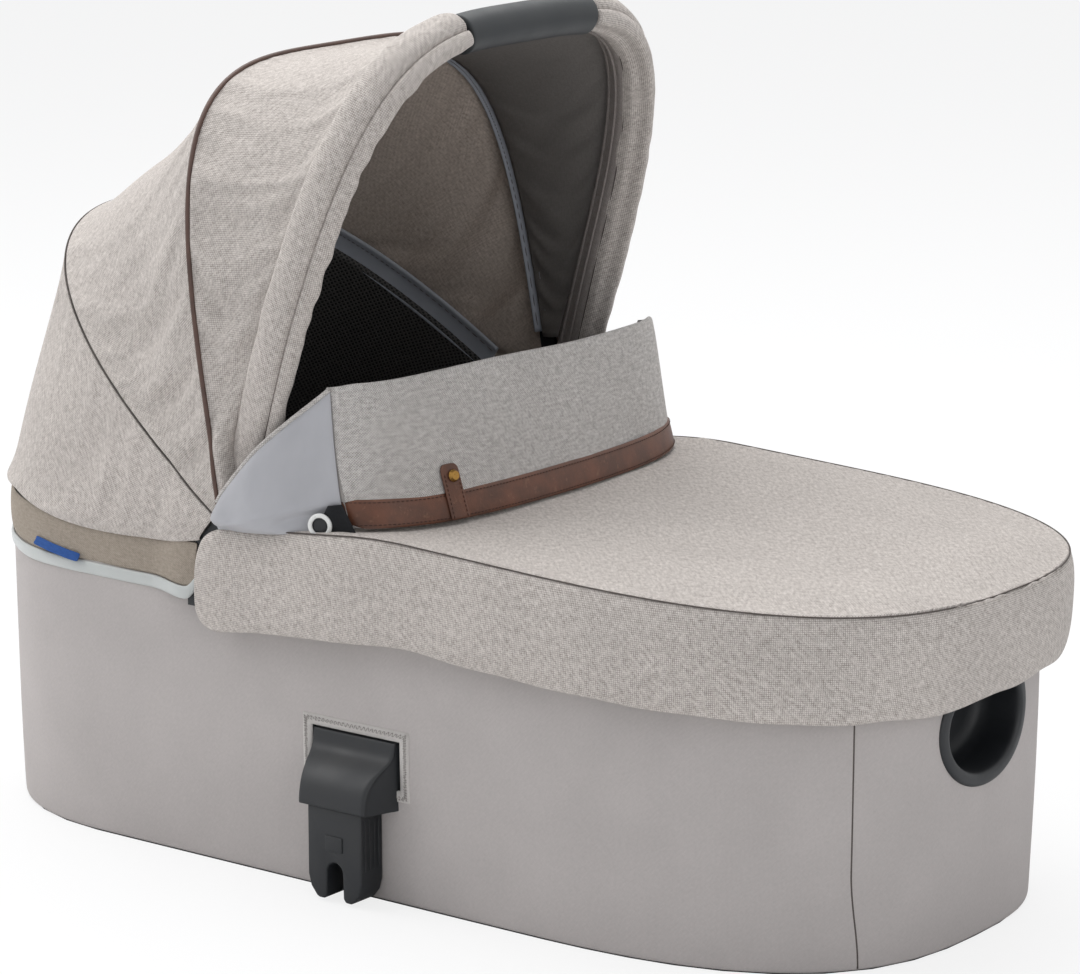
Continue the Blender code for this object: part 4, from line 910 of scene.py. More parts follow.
@dataclass(frozen=True)
class TubPlan:
    """The tub's outline from above: two superellipse ends joined by straight sides."""

    half_length: float = 0.430
    half_width: float = 0.197
    foot_round: float = 0.274
    head_round: float = 0.183
    foot_power: float = 2.72
    head_power: float = 2.29
    lean_share: float = 0.014

    def whole(self, extra_length: float = 0.0, extra_width: float = 0.0) -> Array:
        """Give many points round the grown outline, from the foot end by the near side."""
        turn = np.linspace(0.0, -2 * math.pi, DENSE + 1)
        cosine = np.cos(turn)
        sine = np.sin(turn)
        power = np.where(cosine >= 0, self.foot_power, self.head_power)
        along = np.sign(cosine) * np.abs(cosine) ** (2 / power)
        across = np.sign(sine) * np.abs(sine) ** (2 / power)
        foot_x = self.half_length - self.foot_round + (self.foot_round + extra_length) * along
        head_x = self.head_round - self.half_length + (self.head_round + extra_length) * along
        x = np.where(cosine >= 0, foot_x, head_x)
        points = np.stack([x, (self.half_width + extra_width) * across], axis=1)
        steps = np.linalg.norm(np.diff(points, axis=0), axis=1)
        return points[np.concatenate([[True], steps > MM / 50])]

    def ring(
        self, count: int, extra_length: float = 0.0, extra_width: float = 0.0,
    ) -> tuple[Array, Array]:
        """Give the closed outline with its first point repeated.

        Args:
            count: How many steps it has.
            extra_length: How far the ends stand outside the tub's own outline.
            extra_width: How far the sides stand outside it.

        Returns:
            The points and their outward directions, count + 1 by two.
        """
        points = spaced(self.whole(extra_length, extra_width), count + 1)
        ahead = unit(np.roll(points[:-1], -1, 0) - np.roll(points[:-1], 1, 0))
        outward = square_to(ahead, points[:-1])
        return points, np.concatenate([outward, outward[:1]])

    def run(
        self, end: End, start_x: float, count: int, extra_length: float = 0.0, extra_width: float = 0.0,
    ) -> tuple[Array, Array]:
        """Give the outline round one end only, from the near side to the far side.

        Args:
            end: Which end it goes round.
            start_x: Where it starts and stops along the cot.
            count: How many points it has.
            extra_length: How far the end stands outside the tub's own outline.
            extra_width: How far the sides stand outside it.

        Returns:
            The points and their outward directions, count by two.
        """
        points = self.whole(extra_length, extra_width)
        half = points[: len(points) // 2]
        cut = np.array([[start_x, np.interp(-start_x, -half[:, 0], half[:, 1])]])
        side = half[half[:, 0] < start_x] if end is End.HEAD else half[half[:, 0] > start_x][::-1]
        quarter = np.concatenate([cut, side])
        path = spaced(np.concatenate([quarter, (quarter * [1.0, -1.0])[::-1]]), count)
        return path, square_to(unit(np.gradient(path, axis=0)), path)

    def wall_out(self, height: Array | float) -> Array | float:
        """Tell how far the leaning wall stands outside the base at a height."""
        return self.lean_share * height


PLAN = TubPlan()
PIVOT = (-0.105, 0.0, 0.274)
HEAD_MIDDLE = (-0.2, 0.0, 0.25)
ARM_FRONT_Y = 0.2015
ARM_REAR_Y = 0.2055
ARM_MID_Y = 0.2095


@dataclass(frozen=True)
class Bow:
    """A hood bow: an arch in a plane that leans from the pivots.

    Attributes:
        lean: How far its plane leans towards the foot end, in degrees.
        width: Its half width.
        reach: Its height above the pivots, along its plane.
        power: How square its arch is.
    """

    lean: float
    width: float
    reach: float
    power: float

    def arch(self, count: int, foot: float, width: float | None = None) -> tuple[Array, Array]:
        """Give stations along the arch, leg to leg.

        Args:
            count: How many stations.
            foot: How far up the leg the first one is.
            width: Another half width for the same arch.

        Returns:
            (y, r) pairs at equal steps, and the unit directions out of the arch.
        """
        wide = width or self.width
        turn = np.linspace(-math.pi / 2, math.pi / 2, DENSE)
        y = wide * np.sign(np.sin(turn)) * np.abs(np.sin(turn)) ** (2 / self.power)
        r = self.reach * np.abs(np.cos(turn)) ** (2 / self.power)
        kept = r >= foot
        line = spaced(np.stack([y[kept], r[kept]], axis=1), count)
        out_y = np.sign(line[:, 0]) * np.abs(line[:, 0] / wide) ** (self.power - 1) / wide
        out_r = np.abs(line[:, 1] / self.reach) ** (self.power - 1) / self.reach
        return line, unit(np.stack([out_y, out_r], axis=1))

    def place(self, y: Array, r: Array, shift: Array | float = 0.0) -> Array:
        """Put (y, r) of the arch in space, shifted square to its plane towards the foot end."""
        lean = math.radians(self.lean)
        x = PIVOT[0] + r * math.sin(lean) + shift * math.cos(lean)
        z = PIVOT[2] + r * math.cos(lean) - shift * math.sin(lean)
        return np.stack(np.broadcast_arrays(x, y, z), axis=-1).astype(float)

    def lifted(
        self, line: Array, outward: Array, lift: Array, shift: Array | float,
    ) -> Array:
        """Put stations in space, lifted out of the arch.

        Args:
            line: The (y, r) of each station.
            outward: The direction out of the arch at each.
            lift: How far each is lifted.
            shift: How far each is shifted towards the foot end.

        Returns:
            Their points.
        """
        moved = line + outward * lift[:, None]
        return self.place(moved[:, 0], moved[:, 1], shift)

    def line(
        self, count: int, foot: float, lift: float | Array = 0.0, shift: float | Array = 0.0,
        width: float | None = None,
    ) -> Array:
        """Give points along the bow, lifted out of its arch and shifted square to it."""
        lifts = np.broadcast_to(np.asarray(lift, float), (count,))
        return self.lifted(*self.arch(count, foot, width), lifts, shift)

    def outward(self, count: int, foot: float, width: float | None = None) -> Array:
        """Give the direction out of the arch, in space, at each station."""
        line, outward = self.arch(count, foot, width)
        ahead = line + outward
        return self.place(ahead[:, 0], ahead[:, 1]) - self.place(line[:, 0], line[:, 1])


def ride(obj: Object, body: str, slot: str, *replaced: str) -> Object:
    """Let a piece move with a body, stand it in for solids and report it."""
    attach(obj, body)
    return noted(obj, slot, *replaced)


def noted(obj: Object, slot: str, *replaced: str) -> Object:
    """Stand a piece in for solids and report it."""
    if replaced:
        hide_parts(*replaced)
    LOG.info("%s: %d faces, for %s", obj.name, len(obj.data.polygons), ", ".join(replaced) or "detail")
    return obj


@dataclass(frozen=True)
class Tub:
    """The stiff tub: its cloth cover with seams and windows, lining, mattress and hand cup."""

    cover_out: float = 1.4 * MM
    cover_thickness: float = 1.0 * MM
    cover_low: float = 1.4 * MM
    cover_top: float = 0.2540
    steps: int = 696
    bulge: float = 1.6 * MM
    seam_x: float = 0.3990
    seam_foot_x: float = 0.4030
    seam_bend: float = 0.075
    head_seam_x: float = -0.395
    window_x: float = 0.0105
    window_half: float = 0.0425
    window_low: float = 0.0900
    window_top: float = 0.1285
    binding: float = 8.0 * MM
    rim_radius: float = 7.5 * MM
    rim_height: float = 0.2505
    cup_height: float = 0.165
    cup_half_width: float = 0.059
    cup_half_height: float = 0.048
    cup_lap: float = 3 * MM
    cup_stations: int = 96
    far_side: float = 0.1
    seam_radius: float = 0.75 * MM
    seam_sink: float = -0.35 * MM
    lining_stations: int = 240
    lining_out: float = -9.5 * MM
    lining_thickness: float = 1.2 * MM
    hem_gap: float = 0.9 * MM
    mattress_stations: int = 160
    mattress_round: float = 16 * MM

    def out(self, points: Array, height: Array) -> Array:
        """Tell how far the cover stands out of the tub's base outline at places on it."""
        share = np.clip(height / self.cover_top, 0.0, 1.0)
        swell = self.bulge * np.sin(share * math.pi) ** 0.8
        place = np.concatenate([points, height[..., None]], axis=-1)
        pull = Ripple(3, 0.19, (1.0, 1.0, 2.5)).at(place) * 0.55
        pull = pull + Ripple(7, 0.06, (1.0, 1.0, 3.0)).at(place) * 0.16
        return self.cover_out + PLAN.wall_out(height) + swell + pull * MM * np.sin(share * math.pi)

    def on_cover(self, points: Array, outward: Array, height: Array) -> Array:
        """Put outline points on the cover's face at their heights."""
        flat = points + outward * self.out(points, height)[..., None]
        return np.concatenate([flat, height[..., None]], axis=-1)

    def build(self) -> None:
        """Make every piece of the tub."""
        self.cover()
        self.seams()
        for label, side in SIDES.items():
            self.window(label, side)
        self.lining()
        self.mattress()
        self.cup()

    def cover(self) -> None:
        """Make the fitted cloth cover with its openings for the adapters and the hand cup."""
        points, outward = PLAN.ring(self.steps)
        for edge in (self.window_x - self.window_half, self.window_x + self.window_half):
            for sign in (-1.0, 1.0):
                near = np.abs(points[:, 0] - edge) + np.where(points[:, 1] * sign > self.far_side, 0.0, 9.0)
                points[near.argmin(), 0] = edge
        foot = np.array([self.cover_low, 2.6 * MM, 5 * MM, 9 * MM])
        heights = np.concatenate([
            foot, np.linspace(14 * MM, self.window_low, 20),
            np.linspace(self.window_low, self.window_top, 20)[1:],
            np.linspace(self.window_top, self.cover_top, 38)[1:],
        ])
        height = np.broadcast_to(heights[:, None], (len(heights), len(points)))
        grid = self.on_cover(
            np.broadcast_to(points, (*height.shape, 2)), np.broadcast_to(outward, (*height.shape, 2)), height,
        )
        tuck = np.array([0.55, 0.2, 0.05]) * MM
        grid[:3, :, :2] -= outward[None] * tuck[:, None, None]
        middle = (grid[:-1, :-1] + grid[1:, 1:]) / 2
        in_window = (
            (np.abs(middle[..., 0] - self.window_x) < self.window_half)
            & (np.abs(middle[..., 1]) > self.far_side)
            & (middle[..., 2] > self.window_low) & (middle[..., 2] < self.window_top)
        )
        reach = (middle[..., 1] / (self.cup_half_width - self.cup_lap)) ** 2
        reach += ((middle[..., 2] - self.cup_height) / (self.cup_half_height - self.cup_lap)) ** 2
        in_cup = (reach < 1.0) & (middle[..., 0] > 0.2)
        piece = skin(
            "cover_cloth", grid, "body_twill", away_from=(0.0, 0.0, 0.13),
            thickness=self.cover_thickness, keep=~(in_window | in_cup),
        )
        # the cover is one strip of cloth as long as the outline, seamed at the foot end
        ride(piece, "cot", "body_cloth", "body_cover")

    def up_the_wall(self, x_at: Array, heights: Array, side: float) -> tuple[Array, Array]:
        """Follow a line up the wall.

        Args:
            x_at: The line's x at each height.
            heights: Its heights.
            side: -1 for the near side and 1 for the far side.

        Returns:
            Points on the cover's face and their outward directions.
        """
        points, outward = PLAN.ring(self.steps)
        on_side = points[:, 1] * side >= 0
        order = np.argsort(points[on_side, 0])
        x = points[on_side, 0][order]
        found = np.stack([
            x_at, np.interp(x_at, x, points[on_side, 1][order]),
            np.interp(x_at, x, outward[on_side, 0][order]), np.interp(x_at, x, outward[on_side, 1][order]),
        ], axis=1)
        facing = unit(found[:, 2:])
        return self.on_cover(found[:, :2], facing, heights), np.pad(facing, ((0, 0), (0, 1)))

    def seams(self) -> None:
        """Make the closed seams down the wall, two at the foot end and two at the head end."""
        heights = np.linspace(self.cover_low + MM, self.cover_top, 60)
        low = eased(1.0 - heights / self.seam_bend)
        foot_x = self.seam_x + (self.seam_foot_x - self.seam_x) * low
        for label, side in SIDES.items():
            for end, x_at in (("foot", foot_x), ("head", np.full_like(heights, self.head_seam_x))):
                line, outward = self.up_the_wall(x_at, heights, side)
                seam = tube(
                    f"cover_seam_{end}_{label}", line, self.seam_radius, "dark_thread_and_groove_shade", sink=self.seam_sink,
                    toward=outward,
                )
                ride(seam, "cot", "body_cloth")

    def window(self, label: str, side: float) -> None:
        """Bind one adapter's opening with a folded strip, sewn down by a zigzag."""
        wide = self.binding
        corners = [(-1, -1), (1, -1), (1, 1), (-1, 1), (-1, -1)]
        middle_z = (self.window_low + self.window_top) / 2
        half_z = (self.window_top - self.window_low) / 2
        rows = []
        for grow, proud in ((-0.4 * MM, -0.8 * MM), (0.0, 0.8 * MM), (wide * 0.5, 1.2 * MM), (wide, 0.8 * MM),
                            (wide + 0.4 * MM, -0.3 * MM)):
            loop = []
            for (sx, sz), (nx, nz) in zip(corners, corners[1:]):
                start = np.array([sx * (self.window_half + grow), sz * (half_z + grow)])
                stop = np.array([nx * (self.window_half + grow), nz * (half_z + grow)])
                loop.extend(start + (stop - start) * share for share in np.linspace(0, 1, 13)[:-1])
            loop.append(loop[0])
            flat = np.array(loop)
            line, outward = self.up_the_wall(self.window_x + flat[:, 0], middle_z + flat[:, 1], side)
            rows.append(line + outward * proud)
        piece = skin(
            f"window_binding_{label}", np.stack(rows), "window_tape",
            away_from=(self.window_x, 0.0, middle_z),
        )
        # the side that shows of a tape folded over the opening's edge
        ride(piece, "cot", "body_cloth")
        steps = 150
        share = np.linspace(0, 4, steps * 4 + 1)[:-1]
        corner = np.array(corners, float)
        whole = np.floor(share).astype(int)
        part = (share - whole)[:, None]
        path = corner[whole] * (1 - part) + corner[whole + 1] * part
        zigzag = wide * (0.62 + 0.22 * np.sign(np.sin(np.arange(len(share)) * math.pi / 3 + 0.5)))[:, None]
        flat = path * (np.array([self.window_half, half_z]) + zigzag)
        line, outward = self.up_the_wall(self.window_x + flat[:, 0], middle_z + flat[:, 1], side)
        sewn = stitches(
            f"window_zigzag_{label}", line + outward * 1.15 * MM, outward, "pale_thread",
            pitch=2.6 * MM, share=0.8, radius=0.32 * MM,
        )
        ride(sewn, "cot", "body_cloth")

    def lining(self) -> None:
        """Make the quilted lining inside the wall, folded over the rim tube at its top."""
        points, outward = PLAN.ring(self.lining_stations)
        inside = self.lining_out
        profile = [(inside - 0.0042, 0.0048), (inside - 0.0040, 0.020)]
        profile += [(inside + 0.0020, height) for height in np.linspace(0.034, 0.228, 17)]
        profile += [(inside + 0.0015, 0.2385), (inside + 0.0022, 0.2415)]
        rows = []
        for out, height in profile:
            place = at_height(points, height)
            puff = Ripple(19, 0.07, (1.0, 1.0, 1.6)).at(place) * 0.9 * MM * math.sin(math.pi * height / 0.245)
            round_cup = np.hypot(points[:, 1] / 0.078, (height - self.cup_height) / 0.068)
            behind = eased((1.25 - round_cup) / 0.35) * (points[:, 0] > 0.2) * 28 * MM
            offset = out + PLAN.wall_out(height) - np.abs(puff) - behind
            rows.append(at_height(points + outward * offset[:, None], height))
        piece = skin("lining_cloth", np.stack(rows)[:, ::-1], "dark_lining", thickness=1.2 * MM)
        ride(piece, "cot", "lining_cloth", "body_lining")
        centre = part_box("rim_frame")[1].y - PLAN.half_width - self.rim_radius
        rows = []
        for turn in np.linspace(math.radians(-50), math.radians(200), 17):
            out = centre + (self.rim_radius + self.hem_gap) * math.cos(turn)
            height = self.rim_height + (self.rim_radius + self.hem_gap) * math.sin(turn)
            rows.append(at_height(points + outward * out, height))
        hem = skin("lining_hem", np.stack(rows), "dark_lining", away_from=(0.0, 0.0, -1.0), thickness=0.6 * MM)
        ride(hem, "cot", "lining_cloth")

    def mattress(self) -> None:
        """Make the foam mattress in its jersey cover, piped round its edge."""
        low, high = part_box("mattress")
        middle_z = (low.z + high.z) / 2
        half_z = (high.z - low.z) / 2
        points, outward = PLAN.ring(self.mattress_stations)
        edge = -PLAN.half_width + high.y
        rows = []
        for turn in np.linspace(-math.pi / 2, math.pi / 2, 15):
            inset = (1 - math.cos(turn) ** 0.45) * self.mattress_round
            rows.append(at_height(points + outward * (edge - inset), middle_z + half_z * math.sin(turn)))
        for share in (0.86, 0.66, 0.44, 0.22, 0.04):
            place = at_height(rows[14][:, :2] * share, high.z)
            place[:, 2] -= (1.0 + Ripple(29, 0.2).at(place)) * 0.7 * MM
            rows.append(place)
        for share in (0.86, 0.5, 0.04):
            rows.insert(0, at_height(rows[0][:, :2] * share, low.z))
        piece = skin(
            "mattress_pad", np.stack(rows), "cotton_jersey", away_from=(0.0, 0.0, middle_z),
            capped=True,
        )
        ride(piece, "cot", "mattress_cloth", "mattress")
        loop = rows[3 + 11]
        piping = tube("mattress_piping", loop[:-1], 1.6 * MM, "cotton_jersey", closed=True)
        ride(piping, "cot", "mattress_cloth")

    def cup(self) -> None:
        """Make the moulded hand cup: a raised ring that follows the wall, and a bowl behind it."""
        turn = np.linspace(0, 2 * math.pi, self.cup_stations + 1)
        # (inset from the ring's outer edge, depth from the wall, how far it follows the wall's bend)
        profile = [
            (0.0, 1.7, 1), (0.0, 3.4, 1), (0.5, 4.6, 1), (1.6, 5.4, 1), (3.2, 5.7, 1), (6.4, 5.7, 1),
            (8.0, 5.5, 1), (9.2, 4.8, 1), (10.1, 3.4, 1), (10.6, 1.4, 1), (10.9, -2.0, 0.7),
            (11.1, -8.0, 0.3), (11.3, -20.0, 0), (12.5, -29.0, 0), (16.0, -33.2, 0), (24.0, -34.6, 0),
            (34.0, -34.8, 0), (46.0, -34.8, 0),
        ]
        rows = []
        for inset, depth, follow in profile:
            half_y = max(self.cup_half_width - inset * MM, 0.3 * MM)
            half_z = max(self.cup_half_height - inset * MM, 0.25 * MM)
            y = half_y * np.cos(turn)
            z = self.cup_height + half_z * np.sin(turn)
            share = np.minimum(np.abs(y) / PLAN.half_width, 1.0)
            drop = PLAN.foot_round * (1 - (1 - share ** PLAN.foot_power) ** (1 / PLAN.foot_power))
            bend = PLAN.wall_out(z) - drop
            middle = PLAN.wall_out(self.cup_height)
            x = PLAN.half_length + middle + (bend - middle) * follow + depth * MM
            rows.append(np.stack([x, y, z], axis=1))
        piece = skin(
            "hand_cup", np.stack(rows), "black_nylon", away_from=(0.30, 0.0, 0.165),
            thickness=1.6 * MM,
        )
        piece.data.set_sharp_from_angle(angle=math.radians(60.0))
        ride(piece, "cot", "black_plastic", "foot_cup")


@dataclass(frozen=True)
class Adapter:
    """The two plug-in adapters low on the tub's sides."""

    x: float = 0.0085
    top: float = 0.1265
    foot: float = 0.0745
    half_top: float = 0.0412
    half_foot: float = 0.0435
    narrowing: float = 0.0115
    depth: float = 0.0345
    tongue_half: float = 0.0257
    tongue_front: float = 0.0300
    tongue_thickness: float = 0.026
    slot_half: float = 7.5 * MM
    slot_top: float = 0.032
    lap: float = 1.5 * MM
    pad_height: float = 0.047
    pad_half: tuple[float, float] = (8 * MM, 6 * MM)
    # a guide rib's side: (out from the tongue's edge, height)
    rib_side: tuple[tuple[float, float], ...] = (
        (-0.5 * MM, 0.028), (0.7 * MM, 0.030), (0.7 * MM, 0.068), (-0.5 * MM, 0.070),
    )

    def build(self) -> None:
        """Make both adapters."""
        for label, side in SIDES.items():
            self.housing(label, side)
            self.tongue(label, side)

    def wall(self, height: float) -> float:
        """Tell where the stiff wall's outer face is."""
        return PLAN.half_width + PLAN.wall_out(height) - self.lap

    def housing(self, label: str, side: float) -> None:
        """Make the housing: a thin lip at its top that swells to a rounded hood over the tongue."""
        # (share of the way down, share of the full depth, corner radius in mm)
        profile = [
            (0.0, 0.04, 0.6), (0.0, 0.12, 1.0), (0.012, 0.150, 1.2), (0.05, 0.165, 1.4), (0.13, 0.185, 1.8),
            (0.21, 0.215, 2.2), (0.27, 0.28, 2.8), (0.33, 0.40, 3.4), (0.40, 0.56, 4.0), (0.49, 0.74, 4.2),
            (0.60, 0.87, 4.2), (0.72, 0.95, 4.0), (0.85, 0.99, 3.8), (0.96, 1.0, 3.4), (0.99, 0.985, 3.0),
            (1.0, 0.95, 2.6), (1.0, 0.86, 2.4), (1.0, 0.5, 2.0), (1.0, 0.1, 1.0),
        ]
        rows = []
        for fall, out, corner_mm in profile:
            half = self.half_top + (self.half_foot - self.half_top) * eased(np.array(fall / 0.9)).item()
            height = self.top + (self.foot - self.top) * fall
            depth = self.depth * out
            corner = min(corner_mm * MM, depth / 2)
            wall = self.wall(height)
            front = half - self.narrowing * out
            ring = [(half, wall - self.lap)]
            side_points = [(half - (half - front) * part, wall + (depth - corner) * part) for part in FLANK]
            ring += side_points
            for start, centre_x in ((0.0, front - corner), (math.pi / 2, corner - front)):
                for turn in np.linspace(start, start + math.pi / 2, 8):
                    py = wall + depth - corner + corner * math.sin(turn)
                    ring.append((centre_x + corner * math.cos(turn), py))
            ring += [(-px, py) for px, py in side_points[::-1]]
            ring.append((-half, wall - self.lap))
            rows.append([(self.x + px, side * py, height) for px, py in ring])
        grid = np.array(rows)
        piece = skin(
            f"adapter_hood_{label}", grid, "black_nylon",
            away_from=(self.x, side * PLAN.half_width, 0.1), capped=True, smoother=1,
        )
        piece.data.set_sharp_from_angle(angle=math.radians(48.0))
        ride(piece, "cot", "black_plastic", f"adapter_housing_{label}")

    def tongue(self, label: str, side: float) -> None:
        """Make the tongue with its slot, guide ribs and a plain raised pad."""
        top = self.foot - 0.3 * MM
        low = 2.5 * MM
        half = self.tongue_half
        slot = self.slot_half
        arch = self.slot_top - slot
        side_line = [(half, low + 17 * MM), (half - 2.5 * MM, low + 8 * MM), (half - 8 * MM, low + 1.2 * MM)]
        side_line += [(half - 10.5 * MM, low), (slot + 2.6 * MM, low), (slot + 0.6 * MM, low + 3.0 * MM)]
        outline = [(-half, top)] + [(-x, z) for x, z in side_line]
        outline += [(slot * math.cos(a), arch + slot * math.sin(a)) for a in np.linspace(math.pi, 0, 13)]
        outline += side_line[::-1] + [(half, top)]
        wall = self.wall(self.foot)
        near = side * (wall + self.tongue_front - self.tongue_thickness)
        far = side * (wall + self.tongue_front)
        placed = [(self.x + px, pz) for px, pz in outline]
        piece = prism(f"adapter_plug_{label}", placed, near, far, 1.6 * MM, "black_nylon")
        ride(piece, "cot", "black_plastic", f"adapter_tongue_{label}")
        wide, tall = self.pad_half
        signs = ((-1, -1), (1, -1), (1, 1), (-1, 1))
        pad = [(self.x + sx * wide, self.pad_height + sz * tall) for sx, sz in signs]
        boss = prism(
            f"adapter_pad_{label}", pad, far - side * 0.8 * MM, far + side * 1.0 * MM, 0.5 * MM,
            "black_nylon",
        )
        ride(boss, "cot", "black_plastic")
        for index in range(4):
            y = near + (far - near) * (0.2 + 0.2 * index)
            for sign in (-1.0, 1.0):
                rib = [(self.x + sign * half + sign * out, height) for out, height in self.rib_side]
                end = "foot" if sign > 0 else "head"
                made = prism(
                    f"adapter_rib_{label}_{index}_{end}", rib, y - 0.7 * MM, y + 0.7 * MM, 0.3 * MM,
                    "black_nylon",
                )
                ride(made, "cot", "black_plastic")


FRONT_BOW = Bow(18.0, ARM_FRONT_Y, 0.386, 3.88)
MID_BOW = Bow(-10.0, ARM_MID_Y, 0.336, 4.2)
REAR_BOW = Bow(-54.3, ARM_REAR_Y, 0.333, 2.4)


@dataclass(frozen=True)
class Hood:
    """The folding hood: its cloth panels, rim sleeves, grip, linings, channels and piping."""

    columns: int = 181
    rows: int = 25
    leg_start: float = 0.009
    hinge_lift: float = 2.4 * MM
    cloth: float = 1.5 * MM
    cloth_lift: float = 6.1 * MM
    sag: float = 5.0 * MM
    sleeve_depth: float = 0.0205
    sleeve_out: float = 0.0178
    sleeve_in: float = 0.0128
    sleeve_foot: float = 0.022
    grip_half: float = 0.078
    grip_radius: float = 0.0155
    hem_out: float = 6.5 * MM
    hem_middle_x: float = -0.232
    hem_middle_z: float = 0.2500
    hem_rise: float = 0.0135
    hem_reach: float = 0.115
    hem_start_x: float = -0.128
    inside: float = -5.9 * MM
    lining_thickness: float = 0.8 * MM
    mesh_low: float = 0.2545
    mesh_start_x: float = -0.234
    channel_foot: float = 0.082
    channel_stations: int = 200
    leg_stations: int = 160
    grip_stations: int = 61

    def build(self) -> None:
        """Make every piece of the hood."""
        self.front_panel()
        self.rear_panel()
        self.neck_panel()
        self.piping()
        for label, side in SIDES.items():
            self.sleeve(label, side)
        self.grip()
        self.front_lining()
        self.mesh_window()
        self.channel("rear_channel", REAR_BOW, "rear_hood", 13.0 * MM, 5.5 * MM)
        self.channel("mid_channel", MID_BOW, "mid_hood", 7.5 * MM, 0.0)

    def edge_on(self, bow: Bow, lift: float, shift: float) -> Array:
        """Follow a bow outside its tube, a little further out where the cloth passes over a hinge."""
        line, _ = bow.arch(self.columns, self.leg_start, ARM_MID_Y)
        extra = self.hinge_lift * eased((0.070 - line[:, 1]) / 0.035)
        return bow.line(self.columns, self.leg_start, lift + extra, shift, ARM_MID_Y)

    def sleeve_size(self, reach: Array) -> tuple[Array, Array]:
        """Give the sleeve's depth and thickness along its leg, as shares of its full size."""
        deep = eased((reach - 0.010) / 0.058)
        thick = 0.40 + 0.60 * np.sin(np.clip((reach - 0.060) / 0.120, 0.0, 1.0) * math.pi / 2)
        return deep, thick

    def between(self, first: Array, second: Array, sag: float) -> Array:
        """Stretch cloth between two lines.

        Args:
            first: One edge, columns by three.
            second: The other edge.
            sag: How far the middle is drawn towards the pivots, or out where negative.

        Returns:
            Rows by columns by three.
        """
        share = np.linspace(0.0, 1.0, self.rows)[:, None, None]
        grid = first[None] * (1 - share) + second[None] * share
        inward = unit(np.array(PIVOT) - grid)
        gap = np.linalg.norm(second - first, axis=1)[None, :, None]
        depth = np.minimum(abs(sag), 0.045 * gap) * math.copysign(1.0, sag)
        return grid + inward * 4 * depth * share * (1 - share)

    def held_edges(self, feet: float = 0.05) -> Array:
        """Hold a panel by its long edges and its feet."""
        held = np.zeros((self.rows, self.columns))
        held[0] = 1.0
        held[-1] = 1.0
        ends = max(int(self.columns * feet), 1)
        held[:, :ends] = 1.0
        held[:, -ends:] = 1.0
        return held

    def folds(self, grid: Array, depth: float, seed: int) -> Array:
        """Add the soft slanting folds that the legs of a panel fall into, none at its edges or crown."""
        rows, columns = grid.shape[:2]
        share = np.linspace(0.0, 1.0, rows)[:, None]
        along = np.abs(np.linspace(-1.0, 1.0, columns))[None]
        inside = np.sin(share * math.pi) ** 0.7
        low = eased((along - 0.25) / 0.4) * eased((1.0 - along) / 0.12)
        slanted = grid.copy()
        slanted[..., 1] = np.abs(grid[..., 1])
        slanted[..., 2] -= 0.8 * grid[..., 0]
        wave = Ripple(seed, 0.040, (2.6, 1.4, 1.0), 10).at(slanted)
        broad = Ripple(seed + 1, 0.16).at(grid)
        lift = ((wave * 0.55 + 0.45) * low * depth + broad * depth * 0.45) * inside
        normals = normals_of(grid)
        return grid - normals * lift[..., None] * np.sign((normals * (np.array(PIVOT) - grid)).sum())

    def wrap(self, piece: Object, first: str, second: str, *leans: float, reach: float = 0.33) -> None:
        """Bake a panel's placement into its mesh.

        Args:
            piece: The panel.
            first: The body that it leaves. Not used.
            second: The body that it reaches. Not used.
            *leans: How far towards the foot end the bend starts and stops, in degrees. Not used.
            reach: How far from the pivots it does. Not used.
        """
        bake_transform(piece)

    def canvas(self, name: str, grid: Array, behind: tuple[float, float, float]) -> Object:
        """Make one outer panel of canvas, its back in the browner canvas copy: painted shade of the hood's
        inside.

        Args:
            name: The piece's name.
            grid: Its points.
            behind: A point inside the hood.

        Returns:
            The new object.
        """
        # the inner side takes the browner canvas copy, painted shade
        return skin(
            name, grid, "melange_canvas", away_from=behind, thickness=self.cloth, inner="shaded_canvas_back",
            weave=fanned(grid), smoother=1,
        )

    def front_panel(self) -> None:
        """Make the panel between the rim and the middle bow."""
        line, _ = FRONT_BOW.arch(self.columns, self.leg_start)
        lift = 3.6 * MM + 9.5 * MM * eased((0.052 - line[:, 1]) / 0.034)
        deep, _ = self.sleeve_size(line[:, 1])
        over = 6.0 * MM * eased((0.056 - line[:, 1]) / 0.022)
        rim = FRONT_BOW.line(self.columns, self.leg_start, lift, (3.0 * MM - self.sleeve_depth) * deep + over)
        bow = self.edge_on(MID_BOW, self.cloth_lift, 0.3 * MM)
        grid = self.between(rim, bow, self.sag)
        share = np.linspace(0.0, 1.0, self.rows)[:, None]
        over_arms = 5.5 * MM * np.sin(math.pi * share) * eased((0.130 - line[:, 1]) / 0.035)
        grid[..., 1] += np.sign(grid[..., 1]) * over_arms
        grid = Settle(slack=0.03, bending=2.0, cap=5 * MM).let_down(grid, self.held_edges(0.13))
        grid = self.folds(grid, 4.8 * MM, 41)
        piece = self.canvas("hood_cloth_front", grid, PIVOT)
        # a curved band 0.13 m wide at the crown and narrow at its feet
        self.wrap(piece, "mid_hood", "front_hood", -4.0, 8.0)
        noted(piece, "hood_cloth", "hood_front_panel")

    def rear_panel(self) -> None:
        """Make the panel between the middle bow and the rear bow."""
        bow = self.edge_on(MID_BOW, self.cloth_lift, -0.3 * MM)
        rear = self.edge_on(REAR_BOW, self.cloth_lift - 1.0 * MM, 0.8 * MM)
        grid = self.between(bow, rear, self.sag)
        grid = Settle(slack=0.02, bending=3.0, cap=4 * MM).let_down(grid, self.held_edges())
        grid = self.folds(grid, 3.6 * MM, 53)
        piece = self.canvas("hood_cloth_rear", grid, PIVOT)
        self.wrap(piece, "rear_hood", "mid_hood", -43.225, -21.075)
        noted(piece, "hood_cloth", "hood_rear_panel")

